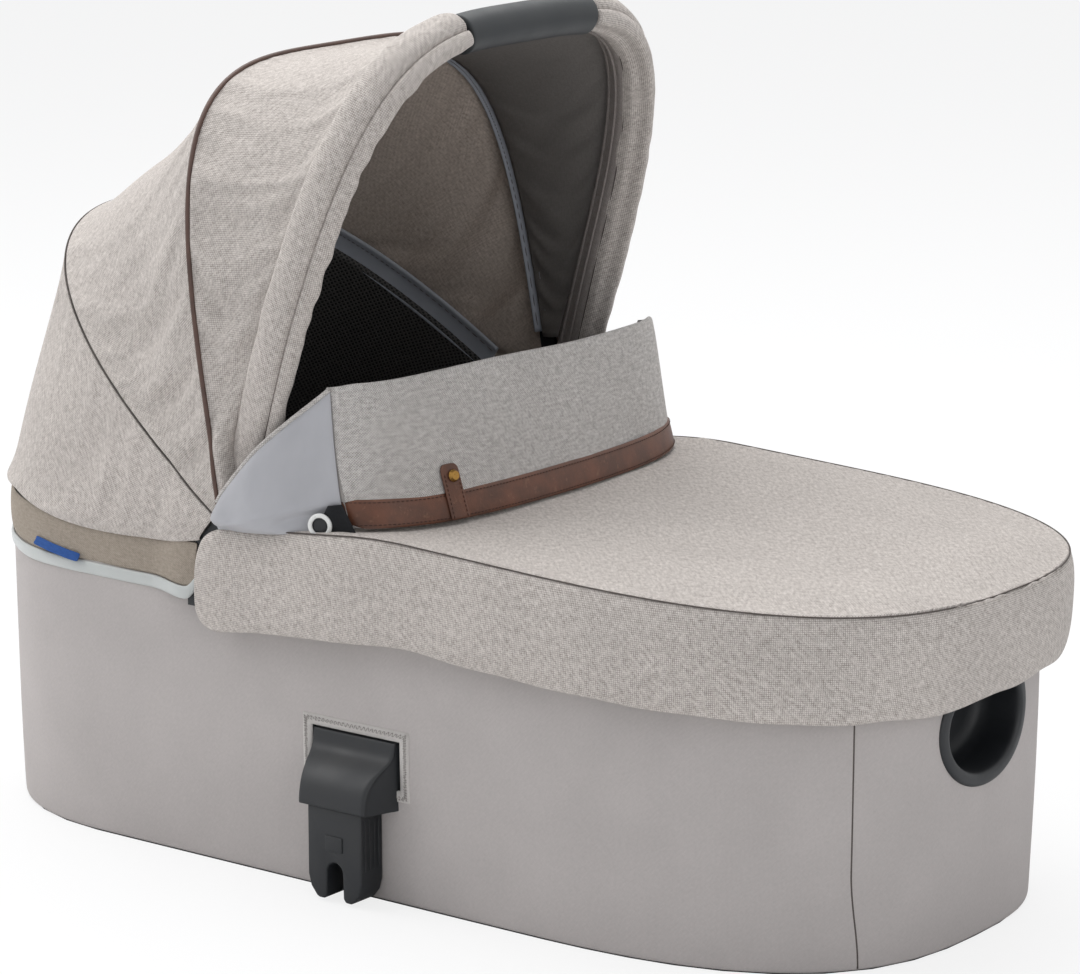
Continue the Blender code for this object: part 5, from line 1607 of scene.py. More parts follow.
    def hem(self, count: int) -> Array:
        """Follow the hood's lower edge round the head end. It hangs lowest beside the baby's head."""
        path, outward = PLAN.run(End.HEAD, self.hem_start_x, count)
        off = np.abs(path[:, 0] - self.hem_middle_x) / self.hem_reach
        lift = np.minimum(off ** 2, 1.0) * self.hem_rise
        height = self.hem_middle_z + np.where(path[:, 0] < -0.35, self.hem_rise, lift)
        off_wall = self.hem_out + 10.5 * MM * eased((path[:, :1] + 0.200) / 0.055)
        flat = path + outward * (off_wall + PLAN.wall_out(0.25))
        return at_height(flat, height)

    def neck_panel(self) -> None:
        """Make the panel from the rear bow down to the hem round the head end, turned in at its hem."""
        rear = self.edge_on(REAR_BOW, self.cloth_lift - 1.0 * MM, -0.8 * MM)
        hem = self.hem(self.columns)
        grid = self.between(rear, hem, -self.sag / 2)
        grid = Settle(slack=0.012, bending=3.0, cap=3.5 * MM).let_down(grid, self.held_edges())
        grid = self.folds(grid, 1.6 * MM, 67)
        outward = unit(np.gradient(hem, axis=0)[:, [1, 0, 2]] * [1.0, -1.0, 0.0])
        outward *= np.sign((outward * hem).sum())
        turn_in = ((0.4e-3, -1.6e-3), (-1.2e-3, -2.6e-3))
        turned = [hem + outward * out + np.array([0.0, 0.0, z]) for out, z in turn_in]
        grid = np.concatenate([grid, np.stack(turned)])
        piece = self.canvas("hood_cloth_neck", grid, HEAD_MIDDLE)
        self.wrap(piece, "cot", "rear_hood", -86.0, -66.0)
        noted(piece, "hood_cloth", "hood_neck_panel")

    def piping(self) -> None:
        """Make the brown piping on the middle bow, and a dark cord along the closed seam on the rear bow:
        painted shade of the seam's groove.
        """
        line = spaced(self.edge_on(MID_BOW, self.cloth_lift + 0.5 * MM, 0.0), 260)
        cord = tube("hood_piping", line, 1.9 * MM, "brown_piping", sides=10)
        ride(cord, "mid_hood", "leather")
        # a dark cord in the rear bow's seam: painted shade of its groove
        line = spaced(self.edge_on(REAR_BOW, self.cloth_lift - 1.3 * MM, 0.0), 260)
        seam = tube("hood_rear_seam_shade", line, 0.65 * MM, "dark_thread_and_groove_shade")
        ride(seam, "rear_hood", "hood_cloth")

    def sleeve_section(self) -> Array:
        """Give the sleeve's section: full at its back, pinched at the stitch line, with a thin flange in front.

        Returns:
            (shift, lift) pairs in shares of the sleeve's half sizes, closed.
        """
        along = np.array([
            -1.0, -0.97, -0.90, -0.80, -0.65, -0.45, -0.20, 0.05, 0.25, 0.37, 0.43, 0.47, 0.50, 0.53, 0.57,
            0.64, 0.76, 0.88, 0.96, 1.0,
        ])
        outer = np.interp(
            along, [-1.0, -0.97, -0.85, -0.6, -0.2, 0.2, 0.40, 0.47, 0.50, 0.53, 0.60, 0.76, 0.93, 1.0],
            [0.0, 0.32, 0.66, 0.90, 1.0, 0.94, 0.80, 0.62, 0.44, 0.54, 0.60, 0.52, 0.36, 0.08],
        )
        inner = np.interp(
            along, [-1.0, -0.9, -0.6, 0.0, 0.4, 0.52, 0.6, 0.9, 1.0],
            [0.0, -0.55, -0.9, -1.0, -0.82, -0.60, -0.42, -0.16, 0.0],
        )
        there = np.stack([along, outer], axis=1)
        back = np.stack([along, inner], axis=1)[::-1][1:]
        return np.concatenate([there, back])

    def sleeve_path(self, side: float, count: int) -> tuple[Array, Array, Array]:
        """Follow one leg of the front bow from its foot to the grip: stations, directions and distances."""
        line, outward = FRONT_BOW.arch(DENSE_LEG, self.sleeve_foot)
        mine = (line[:, 0] * side > 0) & (np.abs(line[:, 0]) > self.grip_half + 0.6 * MM)
        packed = np.concatenate([line[mine], outward[mine]], axis=1)
        if abs(packed[0, 0]) < abs(packed[-1, 0]):
            packed = packed[::-1]
        along = summed(np.linalg.norm(np.diff(packed[:, :2], axis=0), axis=1))
        share = np.linspace(0, 1, count)
        wanted = along[-1] * (share - 0.06 * np.sin(2 * math.pi * share) / (2 * math.pi))
        found = np.stack([np.interp(wanted, along, column) for column in packed.T], axis=1)
        return found[:, :2], unit(found[:, 2:]), wanted

    def sleeve(self, label: str, side: float) -> None:
        """Make one padded rim sleeve with its flange, inner tape and stitch line, whose dark cord is painted
        groove shade.
        """
        count = self.leg_stations
        line, outward, along = self.sleeve_path(side, count)
        section = self.sleeve_section()
        deep_share, thick_share = self.sleeve_size(line[:, 1])
        round_end = 0.80 + 0.20 * rounded((along[-1] - along) / 0.016)
        centre = FRONT_BOW.place(line[:, 0], line[:, 1])
        limp = Ripple(87, 0.020).at(centre)
        drawn = Ripple(89, 0.026).at(centre)
        grid = np.zeros((len(section), count, 3))
        # the near flange is gathered more
        wavy = 1.0 if side < 0 else 0.35
        for index, (shift, lift) in enumerate(section):
            thick = (self.sleeve_out if lift > 0 else self.sleeve_in) * thick_share
            flange = max(0.0, (shift - 0.56) / 0.44)
            offset = lift * thick * round_end + flange * wavy * 1.0 * MM * limp
            deep = shift * self.sleeve_depth * deep_share * round_end + flange * wavy * 0.8 * MM * drawn
            grid[index] = FRONT_BOW.lifted(line, outward, offset, deep)
        puff = Ripple(83, 0.045, (1.0, 1.0, 1.0)).at(grid)
        body = np.clip(1.2 - np.abs(section[:, 0] + 0.3) * 1.2, 0.0, 1.0)[:, None]
        grid += unit(grid - centre[None]) * (puff * body * 0.7 * MM)[..., None]
        piece = skin(
            f"rim_sleeve_cloth_{label}", grid, "melange_canvas", capped=True,
            away_from=tuple(centre[count // 2]), smoother=1,
        )
        ride(piece, "front_hood", "hood_cloth", f"rim_sleeve_{label}")
        # the stitch line's dark cord: partly the seam, partly painted shade of the pinched groove
        keep = along < along[-1] - 0.012
        lift = self.sleeve_out * thick_share * 0.44 + 0.45 * MM
        pinched = FRONT_BOW.lifted(line, outward, lift, 0.50 * self.sleeve_depth * deep_share)[keep]
        groove = tube(f"sleeve_groove_shade_{label}", pinched, 0.55 * MM, "dark_thread_and_groove_shade", sides=6)
        ride(groove, "front_hood", "hood_cloth")
        self.sleeve_tape(label, line, outward, along)

    def sleeve_tape(self, label: str, line: Array, outward: Array, along: Array) -> None:
        """Sew the facing tape and its two cords down the sleeve's inner side.

        Args:
            label: Which side it is on.
            line: The leg's stations in the bow's plane.
            outward: The direction out of the arch at each.
            along: Each station's distance along the leg.
        """
        keep = (line[:, 1] > 0.075) & (along < along[-1] - 0.004)
        deep_share, thick_share = self.sleeve_size(line[:, 1])
        section = self.sleeve_section()
        inner = section[section[:, 1] <= 0.0]
        inner = inner[np.argsort(inner[:, 0])]
        shifts = np.linspace(-0.92, 0.12, 9)
        rows = []
        for index, shift in enumerate(shifts):
            lift = np.interp(shift, inner[:, 0], inner[:, 1])
            raised = (1.2 if 0 < index < 8 else -0.3) * MM
            depth = lift * self.sleeve_in * thick_share - raised
            rows.append(FRONT_BOW.lifted(line, outward, depth, shift * self.sleeve_depth * deep_share)[keep])
        grid = np.stack(rows)
        centre = FRONT_BOW.place(line[:, 0], line[:, 1])[len(line) // 2]
        # the tape's paler taupe is partly painted light on the sleeve's shaded inner side
        piece = skin(f"rim_tape_{label}", grid, "lightened_taupe_tape", away_from=tuple(centre))
        ride(piece, "front_hood", "lining_cloth")
        sewn = tube(f"rim_stitch_{label}", grid[8], 0.5 * MM, "dark_thread_and_groove_shade", sides=6)
        ride(sewn, "front_hood", "lining_cloth")
        inward = unit(np.array([0.0, 0.0, PIVOT[2] + 0.1]) - grid[4])
        for number, row in enumerate((2, 5)):
            cord = tube(
                f"rim_cord_{label}_{number}", grid[row], 1.1 * MM, "lightened_taupe_tape",
                sink=0.5 * MM, toward=inward,
            )
            ride(cord, "front_hood", "lining_cloth")

    def grip(self) -> None:
        """Make the foam grip on the crown of the front bow, with a seam along its underside."""
        line, outward = FRONT_BOW.arch(DENSE_LEG, 0.2)
        mine = np.abs(line[:, 0]) < self.grip_half
        count = self.grip_stations
        packed = spaced(np.concatenate([line[mine], outward[mine]], axis=1), count)
        from_end = np.minimum(np.arange(count), np.arange(count)[::-1])
        size = self.grip_radius * (0.93 + 0.07 * rounded(from_end / 2.5))
        turn = np.linspace(0, 2 * math.pi, 41)
        grid = np.zeros((len(turn), count, 3))
        for index, angle in enumerate(turn):
            lift = size * math.sin(angle)
            grid[index] = FRONT_BOW.lifted(packed[:, :2], unit(packed[:, 2:]), lift, size * math.cos(angle))
        piece = skin("grip_foam_sleeve", grid, "grip_foam", capped=True, smoother=1)
        ride(piece, "front_hood", "grip_foam", "carry_grip")

    def front_lining(self) -> None:
        """Make the dark lining under the front panel, from the rim to the middle bow."""
        foot = 0.078
        rim = FRONT_BOW.line(self.columns, foot, self.inside, -self.sleeve_depth * 0.86)
        bow = MID_BOW.line(self.columns, foot, self.inside, 0.3 * MM)
        grid = self.between(rim, bow, self.sag * 0.7)
        grid = Settle(slack=0.02, bending=1.5, cap=3.5 * MM).let_down(grid, self.held_edges(0.02))
        grid = self.folds(grid, 1.4 * MM, 97)
        piece = skin(
            "hood_lining_front", grid, "dark_lining", away_from=PIVOT, thickness=self.lining_thickness,
            weave=fanned(grid),
        )
        self.wrap(piece, "mid_hood", "front_hood", -4.0, 8.0)
        noted(piece, "lining_cloth", "front_lining")

    def mesh_window(self) -> None:
        """Make the air mesh inside the neck panel, from the rear bow to the lining's top."""
        foot = 0.080
        rear = REAR_BOW.line(self.columns, foot, self.inside, -0.3 * MM)
        path, outward = PLAN.run(End.HEAD, self.mesh_start_x, self.columns)
        low = at_height(path - outward * 9.8 * MM, self.mesh_low)
        grid = self.between(rear, low, 1.0 * MM)
        piece = skin(
            "hood_air_mesh", grid, "air_mesh", away_from=HEAD_MIDDLE, thickness=self.lining_thickness,
            weave=fanned(grid),
        )
        self.wrap(piece, "cot", "rear_hood", -84.0, -64.0, reach=0.32)
        noted(piece, "mesh_net", "mesh_window")

    def channel(self, name: str, bow: Bow, body: str, half: float, ahead: float) -> None:
        """Make the satin channel that a thin bow runs in: two corded edges and a dip between them."""
        count = self.channel_stations
        foot = self.channel_foot
        # (share of the half width, lift in mm), from its near corner round its inner side and back
        section = [
            (-1.0, -4.9), (-1.06, -6.0), (-0.98, -7.2), (-0.84, -7.3), (-0.70, -6.2), (-0.35, -5.5),
            (0.0, -5.2), (0.35, -5.5), (0.70, -6.2), (0.84, -7.3), (0.98, -7.2), (1.06, -6.0), (1.0, -4.9),
            (0.5, -4.3), (0.0, -4.2), (-0.5, -4.3), (-1.0, -4.9),
        ]
        rows = [bow.line(count, foot, lift * MM, ahead + shift * half) for shift, lift in section]
        grid = np.stack(rows)
        middle = bow.line(3, foot, -5.5 * MM)[1]
        piece = skin(name, grid, "slate_satin", away_from=tuple(middle), capped=True)
        ride(piece, body, "satin")
        for label, shift in (("a", -0.58), ("b", 0.58)):
            row = bow.line(count, foot, -6.0 * MM, ahead + shift * half)
            facing = -bow.outward(count, foot)
            sewn = stitches(
                f"{name}_stitch_{label}", row, facing, "dark_thread_and_groove_shade", pitch=4.0 * MM,
                radius=0.3 * MM,
            )
            ride(sewn, body, "satin")


@dataclass(frozen=True)
class NeckBand:
    """The cloth band round the head end under the hood, its satin trim and its ribbon tab."""

    start_x: float = -0.131
    hinge_out: float = 13.0 * MM
    top: float = 0.2565
    low: float = 0.2200
    trim_height: float = 0.0110
    wave: float = 0.35 * MM
    tab_ahead: float = 0.020
    stations: int = 221

    def build(self) -> None:
        """Make the band, its trim and the tab."""
        self.band()
        self.trim()
        self.tab()

    def strip(self, profile: list[tuple[float, float]], turn_up: float = 0.0) -> Array:
        """Follow a section round the head end and out over the hinges.

        Args:
            profile: (outward offset, height) pairs in metres.
            turn_up: How far its two ends turn up, in metres.

        Returns:
            Rows by columns by three.
        """
        path, outward = PLAN.run(End.HEAD, self.start_x, self.stations)
        over = self.hinge_out * eased((path[:, 0] + 0.192) / 0.045)
        risen = turn_up * np.clip((path[:, 0] + 0.144) / 0.013, 0.0, 1.0) ** 1.6
        rows = []
        for out, height in profile:
            place = at_height(path, height)
            uneven = Ripple(111, 0.05).at(place) * self.wave
            off = PLAN.wall_out(height) + out + uneven + over
            drop = Ripple(116, 0.12).at(place) * self.wave * 1.5 + risen
            rows.append(at_height(path + outward * off[:, None], height + drop))
        return np.stack(rows)

    def band(self) -> None:
        """Make the padded canvas band."""
        tall = self.top - self.low
        shares = np.linspace(0, 1, 9)
        profile = [(2.6 * MM + 2.2 * MM * math.sin(math.pi * s) ** 0.6, self.low + tall * s) for s in shares]
        grid = self.strip(profile)
        piece = skin(
            "neck_band_cloth", grid, "band_canvas", away_from=(-0.2, 0.0, 0.24),
            thickness=1.0 * MM, smoother=1,
        )
        ride(piece, "cot", "band_cloth", "neck_band")

    def trim(self) -> None:
        """Make the satin trim sewn to the band's lower edge."""
        top = self.low + 0.4 * MM
        profile = [
            (1.9 * MM, top), (4.2 * MM, top + 0.2 * MM), (5.0 * MM, top - 2.5 * MM), (4.9 * MM, top - 7.0 * MM),
            (4.0 * MM, top - self.trim_height), (1.9 * MM, top - self.trim_height + 0.8 * MM), (1.9 * MM, top),
        ]
        grid = self.strip(profile, 0.013)
        piece = skin(
            "neck_trim_satin", grid, "pale_satin", away_from=(-0.2, 0.0, 0.215), capped=True,
            smoother=1,
        )
        ride(piece, "cot", "satin", "neck_trim")

    def tab(self) -> None:
        """Make the folded ribbon tab, standing a little off the trim."""
        low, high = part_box("side_tab")
        path, outward = PLAN.run(End.HEAD, self.start_x, self.stations)
        near = path[:self.stations // 2]
        first = int(np.argmin(np.abs(near[:, 0] - high.x - self.tab_ahead)))
        last = int(np.argmin(np.abs(near[:, 0] - low.x)))
        picks = np.linspace(first, last, 9).round().astype(int)
        rows = []
        slant = np.linspace(-2.5, 2.5, len(picks)) * MM
        for share in np.linspace(0.0, 1.0, 6):
            height = high.z - 3.6 * MM - 6.0 * MM * share
            lift = 6.2 * MM + 3.6 * MM * share ** 1.5
            base = path[picks] + outward[picks] * (PLAN.wall_out(height) + lift)
            rows.append(at_height(base, height + slant))
        piece = skin(
            "ribbon_tab", np.stack(rows), "blue_ribbon", away_from=(-0.28, 0.0, 0.225),
            thickness=1.1 * MM, smoother=1,
        )
        ride(piece, "cot", "tab_cloth", "side_tab")


@dataclass(frozen=True)
class Apron:
    """The apron over the legs: its side band with an elastic hem, and its top panel."""

    seam_length: float = 0.027
    seam_width: float = 0.0165
    seam_height: float = 0.267
    hem_length: float = 0.020
    hem_width: float = 0.0265
    hem_height: float = 0.190
    tilt_share: float = 0.042
    start_x: float = -0.128
    dip_x: float = 0.040
    dip_share: float = 0.096
    dip_blend: float = 0.030
    bulge: float = 4.2 * MM
    top_start_x: float = -0.078
    cloth: float = 5.0 * MM
    crown: float = 4.5 * MM
    sag: float = 6.0 * MM
    seam_ease: float = 0.40
    foot_ease: float = 0.080
    flap_end_x: float = -0.003
    seam_in: float = 0.6 * MM
    band_stations: int = 361
    top_stations: int = 241
    top_columns: int = 81

    def rise(self, x: Array) -> Array:
        """Tell how much higher the apron lies at x than at its foot end."""
        past = self.dip_x + self.dip_blend - np.asarray(x, float)
        gentle = np.maximum(past, 0.0) ** 2 / (4 * self.dip_blend)
        dip = np.where(past > 2 * self.dip_blend, past - self.dip_blend, gentle)
        return self.tilt_share * (PLAN.half_length - x) - (self.tilt_share + self.dip_share) * dip

    def top_face(self, x: Array, share: Array) -> Array:
        """Give the height of the top panel's upper face, at x and a share of the way to its seam."""
        along = np.clip((x - self.flap_end_x) / (PLAN.half_length - self.flap_end_x), 0.0, 1.0)
        inside = eased((1.0 - np.abs(share)) / self.seam_ease)
        inside = inside * eased((PLAN.half_length + self.seam_length - x) / self.foot_ease)
        swell = self.cloth / 2 + self.crown * along - self.sag * (1.0 - along)
        return self.seam_height + self.rise(x) + self.cloth / 2 + swell * inside

    def edge(self, count: int, extra_length: float, extra_width: float) -> tuple[Array, Array]:
        """Follow the apron's side from one wing round the foot end to the other."""
        path, outward = PLAN.run(End.FOOT, self.top_start_x, count, extra_length, extra_width)
        wing = np.linspace(self.start_x, self.top_start_x, 21)[:-1]
        first = np.stack([wing, np.full_like(wing, path[0, 1])], axis=1)
        last = first[::-1] * [1.0, -1.0]
        steady = np.repeat(outward[:1], len(wing), axis=0)
        mirrored = np.repeat(outward[-1:], len(wing), axis=0)
        return np.concatenate([first, path, last]), np.concatenate([steady, outward, mirrored])

    def build(self) -> None:
        """Make the band and the top panel."""
        self.band()
        self.top()

    def band(self) -> None:
        """Make the side band: puffed under its seam, gathered by elastic at its hem, with rounded wings."""
        seam_path, _ = self.edge(self.band_stations, self.seam_length, self.seam_width)
        hem_path, hem_out = self.edge(self.band_stations, self.hem_length, self.hem_width)
        seam_z = self.seam_height + self.rise(seam_path[:, 0]) + 0.6 * MM
        hem_z = self.hem_height + self.rise(hem_path[:, 0])
        wing = hem_path[:, 0] < self.top_start_x
        drawn_in = 3.5 * MM + 6.5 * MM * eased((hem_path[:, :1] - self.start_x - 0.012) / 0.038)
        seam_path = np.where(wing[:, None], hem_path - hem_out * drawn_in, seam_path)
        round_tip = rounded((hem_path[:, 0] - self.start_x) / 0.024)
        middle = (seam_z + hem_z) / 2
        spare = (seam_z - hem_z) / 2
        top_z = middle + spare * (0.55 + 0.45 * round_tip)
        low_z = middle - spare * (0.62 + 0.38 * round_tip)
        # (share up the band, outward bulge share, inset from the outer face in mm)
        profile = [
            (1.0, -0.2, 5.5), (1.015, 0.0, 3.2), (1.01, 0.0, 1.2), (0.985, 0.1, 0.15), (0.94, 0.35, 0.0),
            (0.86, 0.65, 0.0), (0.74, 0.9, 0.0), (0.60, 1.0, 0.0), (0.46, 1.0, 0.0), (0.32, 0.9, 0.0),
            (0.20, 0.7, 0.0), (0.10, 0.45, 0.0), (0.04, 0.2, 0.3), (0.008, 0.0, 1.1), (-0.008, 0.0, 2.4),
            (0.0, -0.2, 4.0), (0.03, -0.3, 6.0), (0.07, -0.5, 9.5),
        ]
        rows = []
        for share, swell, inset in profile:
            place = hem_path + (seam_path - hem_path) * np.clip(share, 0, 1)
            height = low_z + (top_z - low_z) * share
            spot = at_height(place, height)
            near_hem = math.exp(-((share - 0.02) / 0.16) ** 2)
            gather = Ripple(131, 0.032, (1, 1, 6)).at(spot) * 0.7 * near_hem + Ripple(137, 0.085).at(spot) * 0.9
            gather = gather * (1.0 if inset < 3 else 0.0)
            off = self.bulge * swell - inset * MM + gather * MM * max(swell, 0.25)
            sagged = Ripple(139, 0.075, (1, 1, 9)).at(spot) * 1.3 * MM * near_hem
            rows.append(at_height(place + hem_out * off[:, None], height + sagged))
        grid = np.stack(rows)
        weave = measured(grid)
        weave[..., 1] = grid[..., 2]
        piece = skin(
            "apron_band_cloth", grid, "melange_canvas", away_from=(0.15, 0.0, 0.23),
            thickness=1.6 * MM, weave=weave, smoother=1,
        )
        ride(piece, "apron", "hood_cloth", "apron_band")

    def flap_line(self, y: Array) -> Array:
        """Give the x of the wind flap's foot across the cot."""
        share = np.minimum(np.abs(y) / 0.198, 1.0)
        return self.flap_end_x + 0.064 * (1.0 - share ** 2.4) ** (1.0 / 2.4)

    def top(self) -> None:
        """Make the top panel: crowned at the foot end, hollow behind the flap, rolled in at its seam."""
        near, outward = PLAN.run(
            End.FOOT, self.top_start_x, self.top_stations, self.seam_length - self.seam_in,
            self.seam_width - self.seam_in,
        )
        half = len(near) // 2
        start_x = near[0, 0]
        length = near[half, 0] - start_x
        across = np.sin(np.linspace(-math.pi / 2, math.pi / 2, self.top_columns))
        rows = []
        for index in range(half + 1):
            edge_x, edge_y = near[index]
            from_head = (edge_x - start_x) / length
            y = across * abs(edge_y)
            reach = (self.flap_line(y) - 9 * MM - start_x) * (1.0 - from_head)
            x = edge_x + reach * (1.0 - across ** 4) ** 1.5
            z = self.top_face(x, across)
            rows.append(np.stack([x, y, z], axis=1))
        grid = np.stack(rows)
        held = np.zeros(grid.shape[:2])
        held[0] = 1.0
        held[:, 0] = 1.0
        held[:, -1] = 1.0
        held[-2:] = 1.0
        grid = Settle(slack=0.010, bending=4.0, gravity=0.6, cap=3 * MM).let_down(grid, held)
        middle = self.top_columns // 2
        to_foot = 1 - (grid[:, middle:middle + 1, 0] - start_x) / length
        rim = np.minimum(1 - np.abs(across)[None], to_foot * 3.0)
        inside = eased(rim / 0.18)
        swell = Ripple(151, 0.15, (1.0, 1.6, 1.0)).at(grid) * 1.5 * MM + Ripple(157, 0.06).at(grid) * 0.35 * MM
        grid[..., 2] += swell * inside
        roll = np.clip(1 - rim / 0.035, 0.0, 1.0)
        grid[..., 2] += 1.6 * MM * np.sqrt(np.clip(1 - roll ** 2, 0, 1)) - 2.2 * MM * roll ** 2
        weave = np.stack([grid[..., 0], grid[..., 1]], axis=2)
        piece = skin(
            "apron_top_cloth", grid, "melange_canvas", away_from=(0.2, 0.0, 0.0),
            thickness=2.2 * MM, weave=weave, smoother=1,
        )
        ride(piece, "apron", "hood_cloth", "apron_top")
        self.seam(near, outward)

    def seam(self, near: Array, outward: Array) -> None:
        """Make a dark cord along the seam between the top panel and the band: the seam is real, its dark line
        painted shade of the seam's groove.
        """
        height = self.seam_height + self.rise(near[:, 0]) + 1.2 * MM
        line = at_height(near + outward * 0.4 * MM, height)
        # a dark cord paints the shade in the seam's groove
        cord = tube("apron_seam_shade", line, 0.6 * MM, "dark_thread_and_groove_shade", sides=8)
        ride(cord, "apron", "hood_cloth")


@dataclass(frozen=True)
class WindFlap:
    """The upright wind flap, its leather strip and tab, gussets and edge bindings."""

    apron: Apron = Apron()
    half_width: float = 0.198
    top: float = 0.393
    lean_back: float = 0.036
    end_lean_back: float = 0.020
    thickness: float = 5.0 * MM
    face_rows: int = 26
    roll_rows: int = 6
    roll_start: float = 0.966
    gusset_back: float = -0.1145
    far_drop: float = 6.0 * MM
    ring_out: float = 5.4 * MM
    ring_drop: float = 6.5 * MM
    strip_height: float = 0.021
    tab_y: float = -0.128
    tab_width: float = 0.017
    tab_height: float = 0.042
    tab_slant: float = 1.6 * MM
    bend_low: tuple[float, float, float] = (0.03, 0.0, 0.303)
    bend_high: tuple[float, float, float] = (0.03, 0.0, 0.325)
    snap_turn: float = 20.0
    snap_ahead: float = 1.5 * MM

    def foot(self, y: Array) -> Array:
        """Give the height at which the flap is sewn to the apron."""
        share = np.abs(y) / (PLAN.half_width + self.apron.seam_width)
        return self.apron.top_face(self.apron.flap_line(y), share) + 1.1 * MM

    def point(self, y: Array, up: Array, out: Array | float = 0.0) -> Array:
        """Give points of the flap's front face.

        Args:
            y: Places across it.
            up: Shares of the way up it.
            out: How far they stand off it, towards the foot end.

        Returns:
            Points in space.
        """
        reach = np.abs(y) / self.half_width
        lean = self.lean_back + (self.end_lean_back - self.lean_back) * reach ** 2
        foot = self.foot(y)
        early = np.clip(up, 0.0, None) ** (1.0 - 0.6 * np.minimum(reach, 1.0) ** 8)
        x = self.apron.flap_line(y) - lean * early + out
        return np.stack(np.broadcast_arrays(x, y, foot + (self.top - foot) * up), axis=-1).astype(float)

    def tall(self) -> float:
        """Tell how tall the flap is where its tab stands."""
        return self.top - self.foot(np.array(self.tab_y))

    def build(self) -> None:
        """Make every piece of the flap."""
        self.panel()
        self.strip()
        self.tab()
        for label, side in SIDES.items():
            self.gusset(label, side)

    def bend(self, piece: Object) -> None:
        """Bake a piece's placement into its mesh."""
        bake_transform(piece)

    def panel(self) -> None:
        """Make the padded panel: two cloth faces that meet in a soft roll along its top."""
        across = np.sin(np.linspace(-math.pi / 2, math.pi / 2, 121)) * (self.half_width - 0.6 * MM)
        face, roll = self.face_rows, self.roll_rows
        ups = np.linspace(0.0, 0.965, face)
        turn = np.concatenate([ups, np.full(roll, 0.985), np.linspace(0.965, 0.0, face)])
        half = self.thickness / 2
        arc = np.linspace(-math.pi / 2, math.pi / 2, roll + 2)[1:-1]
        rows = []
        for index, up in enumerate(turn):
            if face <= index < face + roll:
                out = -half - half * math.sin(arc[index - face])
                lift = self.roll_start + half * 0.9 / 0.11 * math.cos(arc[index - face])
            else:
                out = 0.0 if index < face else -self.thickness
                lift = up
            sign = 1.0 if index < face + roll // 2 else -1.0
            row = self.point(across, np.full_like(across, lift), out)
            from_end = 1 - np.abs(across) / self.half_width
            inside = eased(from_end / 0.10) * math.sin(math.pi * min(up / self.roll_start, 1)) ** 0.6
            soft = Ripple(171, 0.11, (1.0, 1.0, 1.4)).at(row) * 1.6 * MM + Ripple(173, 0.04).at(row) * 0.25 * MM
            row[:, 0] += soft * inside + sign * 0.9 * MM * inside
            corner = np.clip(1 - from_end / np.where(across > 0, 0.11, 0.07), 0, 1)
            row[:, 2] -= corner ** 2 * np.where(across > 0, 9.0, 4.0) * MM * lift ** 3
            row[:, 2] += Ripple(179, 0.14).at(row * [0.0, 1.0, 0.0]) * 1.2 * MM * lift ** 2
            row[:, 2] -= self.far_drop * eased((across + 0.15) / 0.30) * lift ** 2
            rows.append(row)
        grid = np.stack(rows + rows[:1])
        weave = measured(grid)
        piece = skin(
            "wind_flap_pad", grid, "flap_canvas", away_from=(0.0, 0.0, 0.33), capped=True,
            weave=weave, smoother=1,
        )
        self.bend(piece)
        noted(piece, "flap_cloth", "wind_flap")

    def strip(self) -> None:
        """Make the leather strip along the flap's foot, stitched down both edges."""
        across = np.sin(np.linspace(-math.pi / 2, math.pi / 2, 141))[2:-2] * self.half_width
        ends = np.sqrt(np.clip((self.half_width - np.abs(across)) / 0.004, 0.0, 1.0))
        shares = [(0.0, 0.2), (0.03, 1.0), (0.12, 1.7), (0.5, 2.0), (0.88, 1.7), (0.97, 1.0), (1.0, 0.2)]
        rows = []
        for share, out in shares:
            up = (0.5 + (share - 0.5) * (0.6 + 0.4 * ends)) * self.strip_height / self.tall()
            rows.append(self.point(across, up, out * MM + 0.3 * MM))
        grid = np.stack(rows)
        piece = skin("leather_strip", grid, "saddle_leather", away_from=(-0.02, 0.0, 0.30), smoother=1)
        ride(piece, "apron", "leather", "flap_strip")
        facing = np.broadcast_to(FLAP_FACING, (len(across), 3))
        for name, share in (("top", 0.90), ("foot", 0.12)):
            line = self.point(across, np.full_like(across, share * self.strip_height / self.tall()), 2.1 * MM)
            sewn = stitches(f"strip_stitch_{name}", line, facing, "brown_thread", pitch=3.6 * MM)
            ride(sewn, "apron", "leather")

    def tab(self) -> None:
        """Make the leather tab that holds the rolled flap, with its round end and stitches."""
        half = self.tab_width / 2
        across = np.linspace(-1.0, 1.0, 13)
        round_end = 0.86 + 0.14 * np.sin(np.linspace(0, math.pi / 2, 7))[1:]
        ups = np.concatenate([np.linspace(0.02, 0.86, 12), round_end])
        rows = []
        for share in ups:
            narrow = math.sqrt(max(1 - max((share - 0.86) / 0.14, 0.0) ** 2.6, 0.0))
            wide = half * (0.35 + 0.65 * narrow) if share > 0.86 else half
            lean = self.tab_slant * share
            y = self.tab_y + across * wide - lean
            rows.append(self.point(y, np.full_like(y, share * self.tab_height / self.tall()), 4.1 * MM))
        piece = skin(
            "leather_tab", np.stack(rows), "saddle_leather", away_from=(0.0, self.tab_y, 0.30),
            thickness=1.7 * MM, smoother=1,
        )
        ride(piece, "apron", "leather", "snap_tab")
        for name, sign in (("l", -1.0), ("r", 1.0)):
            share = np.linspace(0.05, 0.84, 14)
            y = self.tab_y + sign * half * 0.74 - self.tab_slant * share
            line = self.point(y, share * self.tab_height / self.tall(), 4.2 * MM)
            sewn = stitches(
                f"tab_stitch_{name}", line, np.broadcast_to(FLAP_FACING, (14, 3)), "brown_thread",
                pitch=3.2 * MM, radius=0.3 * MM,
            )
            ride(sewn, "apron", "leather")

